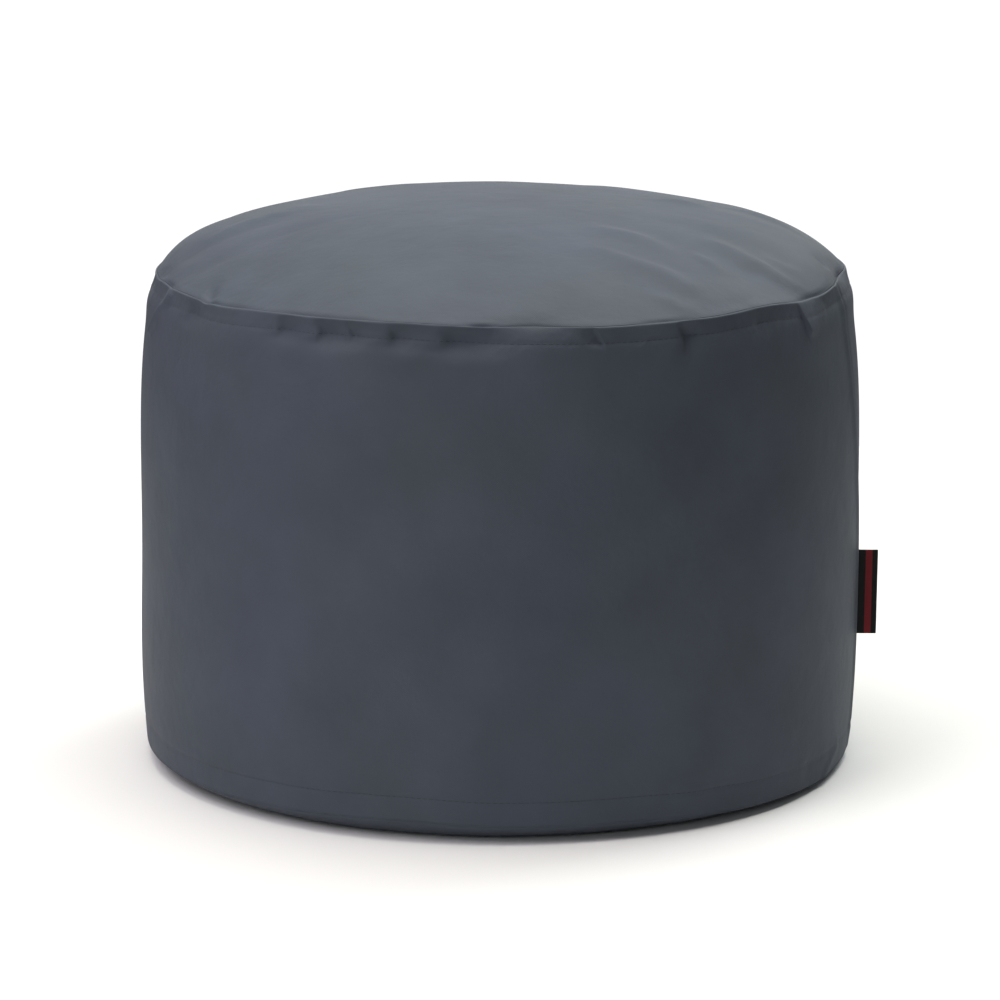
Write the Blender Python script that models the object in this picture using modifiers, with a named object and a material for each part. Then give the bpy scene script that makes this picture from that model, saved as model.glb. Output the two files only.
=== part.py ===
"""Bean bag footstool: a filled drum of coated cloth, sewn from a side strip and two rounds.

The stool stands on the floor at z = 0 with its upright middle axis on z. Angles run
anticlockwise from +x, seen from above: the label is near 0 degrees, the front is 270.
"""

import math
from collections import namedtuple

import bmesh
import bpy
import numpy as np

# Driving dimensions, in metres.
BELLY_RADIUS = 0.250
TOP_SEAM_RADIUS = 0.2386
TOP_SEAM_HEIGHT = 0.342
ROLL_RISE = 0.0244
ROLL_POWER = 8.4
DOME_RISE = 0.0240
SHOULDER_START = 0.188
SHOULDER_POWER = 3.2
SHOULDER_SWELL = 0.0018
SHOULDER_SWELL_DROP = 0.016
SHOULDER_SWELL_HALF_WIDTH = 0.011
BASE_SEAM_RADIUS = 0.248
BASE_SEAM_HEIGHT = 0.0125
HEEL_START = 0.070
FLOOR_RADIUS = 0.222

CLOTH = 0.0022
GAP = 0.0003
TURNED_STEPS = 96

# Movement of the rim fades toward the middle of the crown and base with this power.
RIM_POWER = 4

# How far the unevenness of the rims reaches along the wall.
TOP_LIFT_START = 0.160
TOP_DRAW_START = 0.312
BASE_REACH = 0.100
LOW_BELLY_HEIGHT = 0.085
LOW_BELLY_HALF_WIDTH = 0.050

# Sewing: a topstitched channel below the top seam and above the base seam.
TOP_STITCH_DROP = 0.0105
BASE_STITCH_RISE = 0.0165
CHANNEL_DEPTH = 0.0009
CHANNEL_HALF_WIDTH = 0.0030
FELLED_LIFT = 0.0006

# The upright seam of the side strip and the label that is caught in it.
SEAM_RIDGE_LIFT = 0.0016
SEAM_GROOVE_DEPTH = 0.0012
SEAM_RIDGE_ANGLE = 1.6
SEAM_RIDGE_HALF_ANGLE = 1.1
SEAM_GROOVE_HALF_ANGLE = 0.8
SEAM_FADE_BASE = 0.030
SEAM_FADE_TOP = 0.020
SEAM_KEPT_AT_TOP = 0.35
LABEL_MIDDLE_HEIGHT = 0.118
LABEL_HEIGHT = 0.060
LABEL_WIDTH = 0.0150
LABEL_PLY = 0.0007
LABEL_PLY_SPACING = 0.0011
LABEL_SEAT = 0.0006
LABEL_CURL = 0.0012
LABEL_COLUMNS = 14
LABEL_ROWS = 6
LABEL_FLAT_COLUMNS = 4

# Rows of the turned profile. Each crown row is a share of the top seam's radius.
CROWN_SHARES = (0.0, 0.26, 0.46, 0.62, 0.74, 0.83, 0.90, 0.95, 0.98, 1.0)
BASE_SHARES = (0.0, 0.45, 0.80)
BASE_RIM_SHARES = (0.0, 0.35, 0.68, 1.0)
WALL_HEIGHTS = (
    0.338, 0.3345, 0.3315, 0.327, 0.321, 0.311, 0.297, 0.272, 0.235, 0.190,
    0.145, 0.100, 0.065, 0.045, 0.034, 0.029, 0.024, 0.018,
)

# The sewn rims are uneven. Lift is upward and draw is outward, in millimetres. The crown
# rolls over to its seam more tightly where the roll power is high.
Rim = namedtuple("Rim", "angle top_lift top_draw base_lift base_draw low_belly roll_power")
RIM_ROWS = (
    (8, 0.4, 0.0, -2.0, -2.0, -0.6, 8.5),
    (40, 1.2, -0.6, 0.5, -1.0, 0.0, 7.6),
    (75, -0.8, 0.4, 1.2, 0.0, 0.4, 8.4),
    (110, 1.3, -0.5, -0.6, 0.4, 0.8, 8.6),
    (145, -0.6, 0.3, 0.8, 0.6, 1.2, 7.0),
    (163, 0.8, -0.8, 0.4, 0.7, 1.3, 7.8),
    (180, 0.6, -2.1, 0.0, 0.8, 1.6, 11.5),
    (195, 1.5, -1.8, -0.8, 0.6, 1.4, 6.5),
    (206, 0.8, -0.6, -1.6, 0.2, 0.8, 4.4),
    (219, -0.6, 0.0, -1.6, 0.0, 0.4, 4.0),
    (234, 1.5, 0.2, -0.2, 0.0, 0.0, 4.0),
    (256, 2.0, 0.4, 2.0, 0.0, 0.0, 4.0),
    (270, 0.1, 0.0, 0.0, 0.0, 0.0, 4.0),
    (290, -1.1, -0.2, -0.5, 0.0, 0.0, 4.0),
    (304, -0.6, 0.0, -3.2, -0.4, 0.0, 4.0),
    (317, 1.5, 0.0, -5.8, -1.2, 0.0, 4.0),
    (331, -2.0, 0.2, -7.4, -2.6, -0.2, 5.0),
    (344, 1.0, 0.0, -6.0, -3.0, -0.6, 8.0),
)

# Between puckers the cloth rolls over from the crown to the side: half width in degrees, and
# how far the seam is drawn in, in millimetres.
SeamRoll = namedtuple("SeamRoll", "angle half_width depth")
SEAM_ROLLS = (
    (226, 4.0, 1.2), (274.5, 6.5, 5.0), (293, 3.5, 1.0), (350, 7.0, 4.0), (45, 7.0, 2.4),
    (90, 6.0, 1.8), (133, 6.0, 2.2), (174, 5.0, 1.2),
)
ROLL_SIDE_REACH = 0.026
ROLL_SIDE_POWER = 4.5
ROLL_CROWN_REACH = 0.020
ROLL_CROWN_POWER = 2

# Puckers gathered by the topstitching: where, how wide in degrees, how deep in millimetres.
PUCKER_DIP_SHIFT = 0.0045
PUCKER_DIP_HALF_WIDTH = 0.0065
PUCKER_SWELL_SHIFT = 0.0135
PUCKER_SWELL_HALF_WIDTH = 0.0110
PUCKER_SWELL_SHARE = 0.40
Pucker = namedtuple("Pucker", "angle half_width depth")
TOP_PUCKERS = (
    (14, 3.6, 1.8), (33, 4.4, 2.4), (57, 3.2, 1.6), (78, 4.8, 2.6), (101, 3.6, 1.8),
    (122, 4.6, 2.4), (143, 3.2, 1.6), (164, 4.2, 2.2), (184, 3.4, 1.6), (208, 2.8, 2.8),
    (234, 2.8, 2.2), (243, 3.0, 2.8), (256.5, 2.8, 2.4), (265, 4.6, 3.2), (286.5, 2.8, 2.6),
    (300.5, 2.6, 3.2), (316, 2.6, 1.4), (325, 2.8, 2.0), (336, 2.8, 1.4),
)
BASE_PUCKERS = (
    (22, 5.0, 0.9), (55, 4.2, 1.2), (92, 5.4, 0.9), (128, 4.6, 1.2), (161, 5.0, 1.1),
    (196, 4.8, 0.9), (222, 4.0, 0.7), (247, 3.8, 1.0), (285, 6.4, 0.9), (306, 4.6, 1.1),
    (330, 4.0, 0.8),
)

# Creases fade over this height where the crown meets the wall.
CREASE_FADE = 0.012

# Creases of the crown, from one place on it to another.
# Radius is a share of the top seam's radius; lift and half width are in millimetres.
CrownCrease = namedtuple("CrownCrease", "from_angle from_radius to_angle to_radius lift half_width")
CROWN_CREASES = (
    (9, 0.48, 356, 0.78, 2.2, 10.0),
    (356, 0.78, 351, 0.94, 2.0, 9.0),
    (326, 0.70, 331, 0.91, 3.4, 9.0),
    (331, 0.91, 341, 0.98, 2.4, 8.0),
    (291, 0.62, 301, 0.84, 1.9, 9.0),
    (301, 0.84, 316, 0.96, 2.2, 8.0),
    (310, 0.56, 315, 0.86, 1.8, 9.0),
    (318, 0.60, 322, 0.90, -1.8, 9.0),
    (191, 0.88, 175, 0.54, 2.2, 12.0),
    (196, 0.92, 186, 0.66, -1.6, 10.0),
    (213, 0.97, 211, 0.84, -2.8, 6.0),
    (353, 0.97, 354, 0.93, -2.8, 7.0),
    (264, 0.98, 262, 0.80, -1.2, 9.0),
    (28, 0.74, 78, 0.74, -1.1, 40.0),
    (62, 0.60, 48, 0.90, 0.7, 16.0),
    (118, 0.58, 131, 0.90, 0.7, 16.0),
)

# Creases of the side strip: angle in degrees, height in metres, the rest in millimetres.
WallCrease = namedtuple("WallCrease", "from_angle from_height to_angle to_height lift half_width")
WALL_CREASES = (
    (203.5, 0.336, 194.0, 0.308, 2.2, 6.0),
    (197.0, 0.338, 190.0, 0.322, -2.2, 6.0),
    (329.0, 0.337, 330.5, 0.314, 2.0, 8.0),
    (301.0, 0.330, 300.5, 0.308, -1.6, 7.0),
    (341.0, 0.030, 334.0, 0.012, 1.0, 6.0),
    (58.0, 0.334, 66.0, 0.306, 1.4, 7.0),
    (126.0, 0.334, 119.0, 0.304, 1.6, 7.0),
)

# The upright seam leans a little: its angle from +x at each height.
Lean = namedtuple("Lean", "height angle")
SEAM_LEAN = (
    (0.000, -5.2), (0.085, -5.9), (0.151, -6.5), (0.180, -8.0), (0.270, -14.4), (0.342, -17.0),
)
SEAM_LEAN_REACH = 42.0
SEAM_GATHER = 0.62
SEAM_GATHER_REACH = 5.5
FRONT_GATHER = 0.25
FRONT_GATHER_ANGLE = -90.0

CLOTH_COLOUR = (0.062, 0.071, 0.092)
CLOTH_ROUGHNESS = 0.68
LABEL_COLOUR = (0.012, 0.012, 0.013)
LABEL_ROUGHNESS = 0.75
MM = 0.001


def clear_scene():
    """Remove whatever the file holds before the stool is made."""
    for existing in list(bpy.data.objects):
        bpy.data.objects.remove(existing, do_unlink=True)


def ease(share):
    """A smooth step from 0 to 1."""
    share = np.clip(share, 0.0, 1.0)
    return share * share * (3.0 - 2.0 * share)


def bump(distance, half_width):
    """A rounded rise of height 1 that dies away past its half width."""
    return np.exp(-((distance / half_width) ** 2))


def angle_between(angle, other):
    """Signed difference of two angles, in degrees, from -180 to 180."""
    return (angle - other + 180.0) % 360.0 - 180.0


def rim_value(angle, column):
    """One column of the rim table at each angle, eased from row to row, in metres."""
    rows = [Rim(*row) for row in (RIM_ROWS[-1], *RIM_ROWS, RIM_ROWS[0])]
    stops = np.array([row.angle for row in rows], dtype=float)
    stops[0] -= 360.0
    stops[-1] += 360.0
    values = np.array([getattr(row, column) for row in rows]) * MM
    wrapped = angle % 360.0
    before = np.clip(np.searchsorted(stops, wrapped, side="right") - 1, 0, len(rows) - 2)
    share = (wrapped - stops[before]) / (stops[before + 1] - stops[before])
    return values[before] + (values[before + 1] - values[before]) * ease(share)


def crown_height(radius):
    """Height of the top panel's outer face: a shallow dome that rolls down to the seam."""
    share = radius / TOP_SEAM_RADIUS
    return TOP_SEAM_HEIGHT + ROLL_RISE * (1.0 - share ** ROLL_POWER) + DOME_RISE * (1.0 - share ** 2)


def crown_slope(radius):
    """Fall of the top panel's outer face for each metre outward."""
    share = radius / TOP_SEAM_RADIUS
    roll = ROLL_RISE * ROLL_POWER * share ** (ROLL_POWER - 1.0)
    return (roll + DOME_RISE * 2.0 * share) / TOP_SEAM_RADIUS


def heel_rise(radius):
    """Height of the base panel's outer face, flat inside the floor radius."""
    share = max(0.0, radius - FLOOR_RADIUS) / (BASE_SEAM_RADIUS - FLOOR_RADIUS)
    return BASE_SEAM_HEIGHT * share ** 2


def heel_slope(radius):
    """Rise of the base panel's outer face for each metre outward."""
    reach = BASE_SEAM_RADIUS - FLOOR_RADIUS
    share = max(0.0, radius - FLOOR_RADIUS) / reach
    return 2.0 * BASE_SEAM_HEIGHT * share / reach


def wall_radius(height):
    """Radius of the side strip: full at the belly, drawn in to both seams, with its channels."""
    radius = BELLY_RADIUS
    if height > SHOULDER_START:
        share = (height - SHOULDER_START) / (TOP_SEAM_HEIGHT - SHOULDER_START)
        radius -= (BELLY_RADIUS - TOP_SEAM_RADIUS) * share ** SHOULDER_POWER
    if height < HEEL_START:
        share = (HEEL_START - height) / (HEEL_START - BASE_SEAM_HEIGHT)
        radius -= (BELLY_RADIUS - BASE_SEAM_RADIUS) * share ** 2
    top_stitch = TOP_SEAM_HEIGHT - TOP_STITCH_DROP
    base_stitch = BASE_SEAM_HEIGHT + BASE_STITCH_RISE
    for stitch, band in ((top_stitch, TOP_STITCH_DROP), (base_stitch, BASE_STITCH_RISE)):
        toward_seam = 0.5 * band if stitch == top_stitch else -0.5 * band
        radius -= CHANNEL_DEPTH * bump(height - stitch, CHANNEL_HALF_WIDTH)
        radius += FELLED_LIFT * bump(height - stitch - toward_seam, 0.4 * band)
    return radius


def set_back(face_out, face_up, slope, depth, shift):
    """A profile row: a point behind the outer face, and the face point that it follows.

    Slope is the face's fall per metre outward. Depth is measured into the stool and
    shift along the face, so that neighbouring cloths keep an even gap wherever they lie.
    """
    length = math.hypot(1.0, slope)
    out = face_out - depth * slope / length + shift / length
    up = face_up - (depth + shift * slope) / length
    return out, up, face_out, face_up


def crown_row(share, depth, shift=0.0):
    """A row at a share of the top seam's radius, under the crown's outer face."""
    radius = share * TOP_SEAM_RADIUS
    return set_back(radius, crown_height(radius), crown_slope(radius), depth, shift)


def base_row(radius, depth, shift=0.0):
    """A row above the base's outer face, which is the crown's case upside down."""
    out, down, face_out, face_down = set_back(radius, -heel_rise(radius), heel_slope(radius), depth, shift)
    return out, -down, face_out, -face_down


def wall_row(height):
    """A row on the side strip's outer face."""
    radius = wall_radius(height)
    return radius, height, radius, height


def base_radii():
    """Radii of the base rows: a flat middle, then the rim that turns up to the seam."""
    flat = [share * FLOOR_RADIUS for share in BASE_SHARES]
    reach = BASE_SEAM_RADIUS - FLOOR_RADIUS
    return flat + [FLOOR_RADIUS + share * reach for share in BASE_RIM_SHARES]


def side_panel_profile():
    """The filled drum, from the axis over the crown, down the wall and back along the base."""
    rebate = CLOTH + GAP
    half_gap = 0.5 * GAP
    rows = [crown_row(share, rebate) for share in CROWN_SHARES[:-1]]
    rows.append(crown_row(1.0, rebate, half_gap))
    rows.append(crown_row(1.0, 0.0, half_gap))
    rows += [wall_row(height) for height in WALL_HEIGHTS]
    rows.append(base_row(BASE_SEAM_RADIUS, 0.0, half_gap))
    rows.append(base_row(BASE_SEAM_RADIUS, rebate, half_gap))
    rows += [base_row(radius, rebate) for radius in reversed(base_radii()[:-1])]
    return rows


def top_panel_profile():
    """The crowned round of cloth, over its outer face and back along its underside."""
    half_gap = 0.5 * GAP
    rows = [crown_row(share, 0.0) for share in CROWN_SHARES[:-1]]
    rows.append(crown_row(1.0, 0.0, -half_gap))
    rows.append(crown_row(1.0, CLOTH, -half_gap))
    rows += [crown_row(share, CLOTH) for share in reversed(CROWN_SHARES[:-1])]
    return rows


def base_panel_profile():
    """The round of cloth under the stool, along its upper face and back along the floor."""
    half_gap = 0.5 * GAP
    radii = base_radii()
    rows = [base_row(radius, CLOTH) for radius in radii[:-1]]
    rows.append(base_row(BASE_SEAM_RADIUS, CLOTH, -half_gap))
    rows.append(base_row(BASE_SEAM_RADIUS, 0.0, -half_gap))
    rows += [base_row(radius, 0.0) for radius in reversed(radii[:-1])]
    return rows


def placed_angle(turn, height, reach):
    """Where a turned column stands: gathered at the front and along the leaning side seam."""
    crowding = math.degrees(FRONT_GATHER)
    at_seam = math.sin(math.radians(FRONT_GATHER_ANGLE))
    angle = turn - crowding * (np.sin(np.radians(turn - FRONT_GATHER_ANGLE)) + at_seam)
    away = angle_between(angle, 0.0)
    angle = angle - reach * SEAM_GATHER * away * bump(away, SEAM_GATHER_REACH)
    leans = [Lean(*row) for row in SEAM_LEAN]
    lean = np.interp(height, [row.height for row in leans], [row.angle for row in leans])
    return angle + reach * lean * bump(angle_between(angle, 0.0), SEAM_LEAN_REACH)


def crease(along, off, length, half_width):
    """A crease that is sharp across and fades at both ends."""
    fade = ease(along / half_width + 0.5) * ease((length - along) / half_width + 0.5)
    return bump(off, half_width) * fade


def crease_on_plane(across, up, start, end, half_width):
    """The strength of a straight crease from start to end at points of a plane."""
    run = np.array(end) - np.array(start)
    length = float(np.hypot(*run))
    unit = run / length
    along = (across - start[0]) * unit[0] + (up - start[1]) * unit[1]
    off = (up - start[1]) * unit[0] - (across - start[0]) * unit[1]
    return crease(along, off, length, half_width)


def crown_lift(x, y):
    """Height that the crown's creases add, in metres."""
    lift = np.zeros_like(x)
    for row in CROWN_CREASES:
        fold = CrownCrease(*row)
        ends = []
        for angle, share in ((fold.from_angle, fold.from_radius), (fold.to_angle, fold.to_radius)):
            radius = share * TOP_SEAM_RADIUS
            ends.append((radius * math.cos(math.radians(angle)), radius * math.sin(math.radians(angle))))
        lift += fold.lift * MM * crease_on_plane(x, y, ends[0], ends[1], fold.half_width * MM)
    return lift


def wall_push(angle, height):
    """Outward push of the side strip's creases, in metres."""
    push = np.zeros_like(angle)
    per_degree = math.radians(1.0) * BELLY_RADIUS
    for row in WALL_CREASES:
        fold = WallCrease(*row)
        across = angle_between(angle, fold.from_angle) * per_degree
        start = (0.0, fold.from_height)
        end = (angle_between(fold.to_angle, fold.from_angle) * per_degree, fold.to_height)
        push += fold.lift * MM * crease_on_plane(across, height, start, end, fold.half_width * MM)
    return push


def pucker_push(angle, height, puckers, stitch, toward_seam):
    """Each pucker draws its band in and swells the cloth on the far side of the stitching."""
    push = np.zeros_like(angle)
    dip = bump(height - stitch - toward_seam * PUCKER_DIP_SHIFT, PUCKER_DIP_HALF_WIDTH)
    swell = bump(height - stitch + toward_seam * PUCKER_SWELL_SHIFT, PUCKER_SWELL_HALF_WIDTH)
    for row in puckers:
        pucker = Pucker(*row)
        strength = pucker.depth * MM * bump(angle_between(angle, pucker.angle), pucker.half_width)
        push += strength * (PUCKER_SWELL_SHARE * swell - dip)
    return push


def roll_push(angle, below):
    """The seam drawn in, most steeply right under it. Below is negative up on the crown."""
    depth = np.zeros_like(angle)
    for row in SEAM_ROLLS:
        roll = SeamRoll(*row)
        depth += roll.depth * MM * bump(angle_between(angle, roll.angle), roll.half_width)
    side = np.clip(1.0 - below / ROLL_SIDE_REACH, 0.0, 1.0) ** ROLL_SIDE_POWER
    crown = np.clip(1.0 + below / ROLL_CROWN_REACH, 0.0, 1.0) ** ROLL_CROWN_POWER
    return -depth * np.where(below < 0.0, crown, side)


def roll_lift(radius, angle):
    """How far the crown's roll stands off its mean, for the roll power at this angle."""
    share = np.clip(radius / TOP_SEAM_RADIUS, 0.0, 1.0)
    power = rim_value(angle, "roll_power") / MM
    return ROLL_RISE * (share ** ROLL_POWER - share ** power)


def side_seam_push(away, height):
    """The upright seam: a groove on its line and a folded ridge on its front side."""
    at_base = ease(height / SEAM_FADE_BASE)
    at_top = ease((TOP_SEAM_HEIGHT - height) / SEAM_FADE_TOP + SEAM_KEPT_AT_TOP)
    ridge = SEAM_RIDGE_LIFT * bump(away + SEAM_RIDGE_ANGLE, SEAM_RIDGE_HALF_ANGLE)
    groove = SEAM_GROOVE_DEPTH * bump(away, SEAM_GROOVE_HALF_ANGLE)
    return (ridge - groove) * at_base * at_top


def settle(radius, height, turn):
    """Where points of the turned outer face lie once the cloth is sewn and filled.

    Takes and gives radius and height in metres and an angle in degrees, as arrays.
    """
    reach = np.clip(radius / TOP_SEAM_RADIUS, 0.0, 1.0)
    rim = reach ** RIM_POWER
    angle = placed_angle(turn, height, rim)
    away = angle_between(angle, placed_angle(np.zeros_like(turn), height, rim))

    raised = ease((height - TOP_LIFT_START) / (TOP_SEAM_HEIGHT - TOP_LIFT_START))
    drawn = ease((height - TOP_DRAW_START) / (TOP_SEAM_HEIGHT - TOP_DRAW_START))
    low = ease((BASE_REACH - height) / (BASE_REACH - BASE_SEAM_HEIGHT))
    heel = np.clip((radius - FLOOR_RADIUS) / (BASE_SEAM_RADIUS - FLOOR_RADIUS), 0.0, 1.0)
    top_stitch = TOP_SEAM_HEIGHT - TOP_STITCH_DROP
    base_stitch = BASE_SEAM_HEIGHT + BASE_STITCH_RISE
    off_floor = ease(height / BASE_SEAM_HEIGHT)
    on_crown = ease((height - TOP_SEAM_HEIGHT) / CREASE_FADE + 0.5)
    on_wall = height <= TOP_SEAM_HEIGHT
    below = np.where(on_wall, TOP_SEAM_HEIGHT - height, radius - TOP_SEAM_RADIUS)

    push = drawn * rim_value(angle, "top_draw") + low * rim_value(angle, "base_draw")
    push += bump(height - LOW_BELLY_HEIGHT, LOW_BELLY_HALF_WIDTH) * rim_value(angle, "low_belly")
    push += pucker_push(angle, height, TOP_PUCKERS, top_stitch, 1.0)
    push += pucker_push(angle, height, BASE_PUCKERS, base_stitch, -1.0) * off_floor
    push += wall_push(angle, height) * (1.0 - on_crown)
    push += side_seam_push(away, height)
    push += roll_push(angle, below)
    push += SHOULDER_SWELL * bump(below - SHOULDER_SWELL_DROP, SHOULDER_SWELL_HALF_WIDTH) * on_wall

    radians = np.radians(angle)
    lift = rim * raised * rim_value(angle, "top_lift")
    lift += heel ** 2 * low * rim_value(angle, "base_lift")
    lift += on_crown * crown_lift(radius * np.cos(radians), radius * np.sin(radians))
    lift += on_crown * roll_lift(radius, angle)
    return radius + rim * push, height + lift, angle


def settle_mesh(mesh, rows):
    """Settle a turned mesh: each point follows the face point of its own profile row."""
    count = len(mesh.vertices)
    points = np.empty(count * 3)
    mesh.vertices.foreach_get("co", points)
    x, y, up = points.reshape(count, 3).T
    out = np.hypot(x, y)
    table = np.array(rows)
    nearest = np.argmin(np.hypot(out[:, None] - table[:, 0], up[:, None] - table[:, 1]), axis=1)
    face_out = table[nearest, 2]
    face_up = table[nearest, 3]
    radius, height, angle = settle(face_out, face_up, np.degrees(np.arctan2(y, x)))
    radius = radius + out - face_out
    height = height + up - face_up
    radians = np.radians(angle)
    settled = np.stack((radius * np.cos(radians), radius * np.sin(radians), height), axis=1)
    mesh.vertices.foreach_set("co", settled.ravel())
    mesh.update()


def make_material(name, colour, roughness):
    """A matt cloth finish."""
    material = bpy.data.materials.new(name)
    material.use_nodes = True
    shader = material.node_tree.nodes["Principled BSDF"]
    shader.inputs["Base Color"].default_value = (*colour, 1.0)
    shader.inputs["Roughness"].default_value = roughness
    shader.inputs["Metallic"].default_value = 0.0
    return material


def finish_piece(piece, material, crease_angle):
    """Give a piece its cloth and smooth shading that keeps the seam edges."""
    piece.data.materials.clear()
    piece.data.materials.append(material)
    piece.data.shade_smooth()
    piece.data.set_sharp_from_angle(angle=math.radians(crease_angle))


def bake_modifiers(piece):
    """Replace a piece's mesh by its modifiers' result."""
    graph = bpy.context.evaluated_depsgraph_get()
    turned = bpy.data.meshes.new_from_object(piece.evaluated_get(graph))
    turned.name = piece.name
    drawn = piece.data
    piece.modifiers.clear()
    piece.data = turned
    bpy.data.meshes.remove(drawn)


def make_turned_piece(name, rows, collection, material, diagonals):
    """Turn profile rows about the stool's axis, then settle the result as cloth.

    The drum and the rounds run opposite ways where they face each other, so they split
    their four-sided faces by opposite rules and the thin gap between them stays open.
    """
    line = bmesh.new()
    points = [line.verts.new((max(row[0], 0.0), 0.0, row[1])) for row in rows]
    for first, second in zip(points, points[1:]):
        line.edges.new((first, second))
    mesh = bpy.data.meshes.new(name)
    line.to_mesh(mesh)
    line.free()
    piece = bpy.data.objects.new(name, mesh)
    collection.objects.link(piece)

    screw = piece.modifiers.new("Turned", "SCREW")
    screw.axis = "Z"
    screw.angle = math.tau
    screw.steps = TURNED_STEPS
    screw.render_steps = TURNED_STEPS
    screw.use_merge_vertices = True
    screw.merge_threshold = 0.0001
    split = piece.modifiers.new("Split", "TRIANGULATE")
    split.quad_method = diagonals
    bake_modifiers(piece)
    settle_mesh(piece.data, rows)
    finish_piece(piece, material, 34.0)
    return piece


def fold_label_point(column, row):
    """A place on the folded ribbon: how far out of the seam, how far to its side, how high.

    The columns run out along one ply, round the fold and back along the other ply.
    """
    fold_radius = 0.5 * LABEL_PLY_SPACING
    straight = LABEL_WIDTH - fold_radius - 0.5 * LABEL_PLY
    last_flat = LABEL_COLUMNS - LABEL_FLAT_COLUMNS
    if column <= LABEL_FLAT_COLUMNS:
        out, side = straight * column / LABEL_FLAT_COLUMNS, -fold_radius
    elif column >= last_flat:
        out, side = straight * (LABEL_COLUMNS - column) / LABEL_FLAT_COLUMNS, fold_radius
    else:
        share = (column - LABEL_FLAT_COLUMNS) / (last_flat - LABEL_FLAT_COLUMNS)
        turn = math.pi * (share - 0.5)
        out, side = straight + fold_radius * math.cos(turn), fold_radius * math.sin(turn)
    side += LABEL_CURL * (out / LABEL_WIDTH) ** 2
    up = LABEL_MIDDLE_HEIGHT + (row / LABEL_ROWS - 0.5) * LABEL_HEIGHT
    return LABEL_SEAT + out, side, up


def seat_label_point(out, side, up):
    """Stand a place of the ribbon on the settled wall, square to it, in the upright seam."""
    wall = np.array([wall_radius(up)])
    radius, height, angle = settle(wall, np.array([up]), np.zeros(1))
    radians = math.radians(angle[0])
    outward = np.array([math.cos(radians), math.sin(radians), 0.0])
    sideways = np.array([-math.sin(radians), math.cos(radians), 0.0])
    return outward * (radius[0] + out) + sideways * side + np.array([0.0, 0.0, height[0]])


def make_label(collection, material):
    """The ribbon folded in half, standing out of the upright seam."""
    bpy.ops.mesh.primitive_grid_add(x_subdivisions=LABEL_COLUMNS, y_subdivisions=LABEL_ROWS, size=1.0)
    piece = bpy.context.active_object
    piece.name = "label"
    piece.data.name = "label"
    for owner in list(piece.users_collection):
        owner.objects.unlink(piece)
    collection.objects.link(piece)
    for vertex in piece.data.vertices:
        column = round((vertex.co.x + 0.5) * LABEL_COLUMNS)
        row = round((vertex.co.y + 0.5) * LABEL_ROWS)
        vertex.co = seat_label_point(*fold_label_point(column, row))
    ply = piece.modifiers.new("Ply", "SOLIDIFY")
    ply.thickness = LABEL_PLY
    ply.offset = 0.0
    bake_modifiers(piece)
    finish_piece(piece, material, 50.0)
    return piece


def main():
    clear_scene()
    collection = bpy.data.collections.new("bean_bag_footstool")
    bpy.context.scene.collection.children.link(collection)
    cloth = make_material("charcoal_cloth", CLOTH_COLOUR, CLOTH_ROUGHNESS)
    ribbon = make_material("black_ribbon", LABEL_COLOUR, LABEL_ROUGHNESS)
    make_turned_piece("side_panel", side_panel_profile(), collection, cloth, "FIXED")
    make_turned_piece("top_panel", top_panel_profile(), collection, cloth, "FIXED_ALTERNATE")
    make_turned_piece("base_panel", base_panel_profile(), collection, cloth, "FIXED_ALTERNATE")
    make_label(collection, ribbon)


main()
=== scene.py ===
import math
from collections import namedtuple

import bpy
import numpy as np
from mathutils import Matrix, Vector


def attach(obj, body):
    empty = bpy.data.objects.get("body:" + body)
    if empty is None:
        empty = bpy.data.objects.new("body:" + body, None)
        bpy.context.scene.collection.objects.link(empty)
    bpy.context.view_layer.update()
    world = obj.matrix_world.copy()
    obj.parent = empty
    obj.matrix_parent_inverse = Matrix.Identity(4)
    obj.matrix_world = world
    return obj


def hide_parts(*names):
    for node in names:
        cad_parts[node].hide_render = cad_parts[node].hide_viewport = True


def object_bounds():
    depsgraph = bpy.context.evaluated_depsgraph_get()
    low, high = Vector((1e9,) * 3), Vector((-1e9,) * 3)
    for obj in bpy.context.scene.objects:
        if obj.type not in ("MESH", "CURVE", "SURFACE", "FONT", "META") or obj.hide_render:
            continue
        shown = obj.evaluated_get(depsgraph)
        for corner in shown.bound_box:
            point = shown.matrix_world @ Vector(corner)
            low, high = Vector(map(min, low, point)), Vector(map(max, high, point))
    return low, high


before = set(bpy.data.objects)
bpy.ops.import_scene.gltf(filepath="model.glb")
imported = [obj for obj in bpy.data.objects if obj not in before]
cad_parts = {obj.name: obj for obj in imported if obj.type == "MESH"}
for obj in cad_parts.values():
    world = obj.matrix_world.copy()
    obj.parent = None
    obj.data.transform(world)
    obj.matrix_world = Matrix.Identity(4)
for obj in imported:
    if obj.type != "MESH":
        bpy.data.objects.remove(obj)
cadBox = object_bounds()
mm = 0.001
print("frame loaded:", ", ".join(sorted(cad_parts)))

# Metres. Angles are in degrees, anticlockwise from +X seen from above: the label is near 0,
# the front is at 270. Each cloth follows an outer face that is first turned about the z axis
# and then settled: gathered by its seams, creased, and pushed out by the filling.

stool = {
    "bellyRadius": 0.250,
    "topSeamRadius": 0.2386,
    "topSeamHeight": 0.342,
    "rollRise": 0.0244,
    "rollPower": 8.4,
    "domeRise": 0.0240,
    "shoulderStart": 0.188,
    "shoulderPower": 3.2,
    "baseSeamRadius": 0.248,
    "baseSeamHeight": 0.0125,
    "heelStart": 0.070,
    "floorRadius": 0.222,
    "clothThickness": 0.0022,
    "clothGap": 0.0003,
    "columns": 760,
    "rimPower": 4,
    "topLiftStart": 0.160,
    "topDrawStart": 0.312,
    "baseReach": 0.100,
    "lowBellyHeight": 0.085,
    "lowBellyHalfWidth": 0.050,
}

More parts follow.
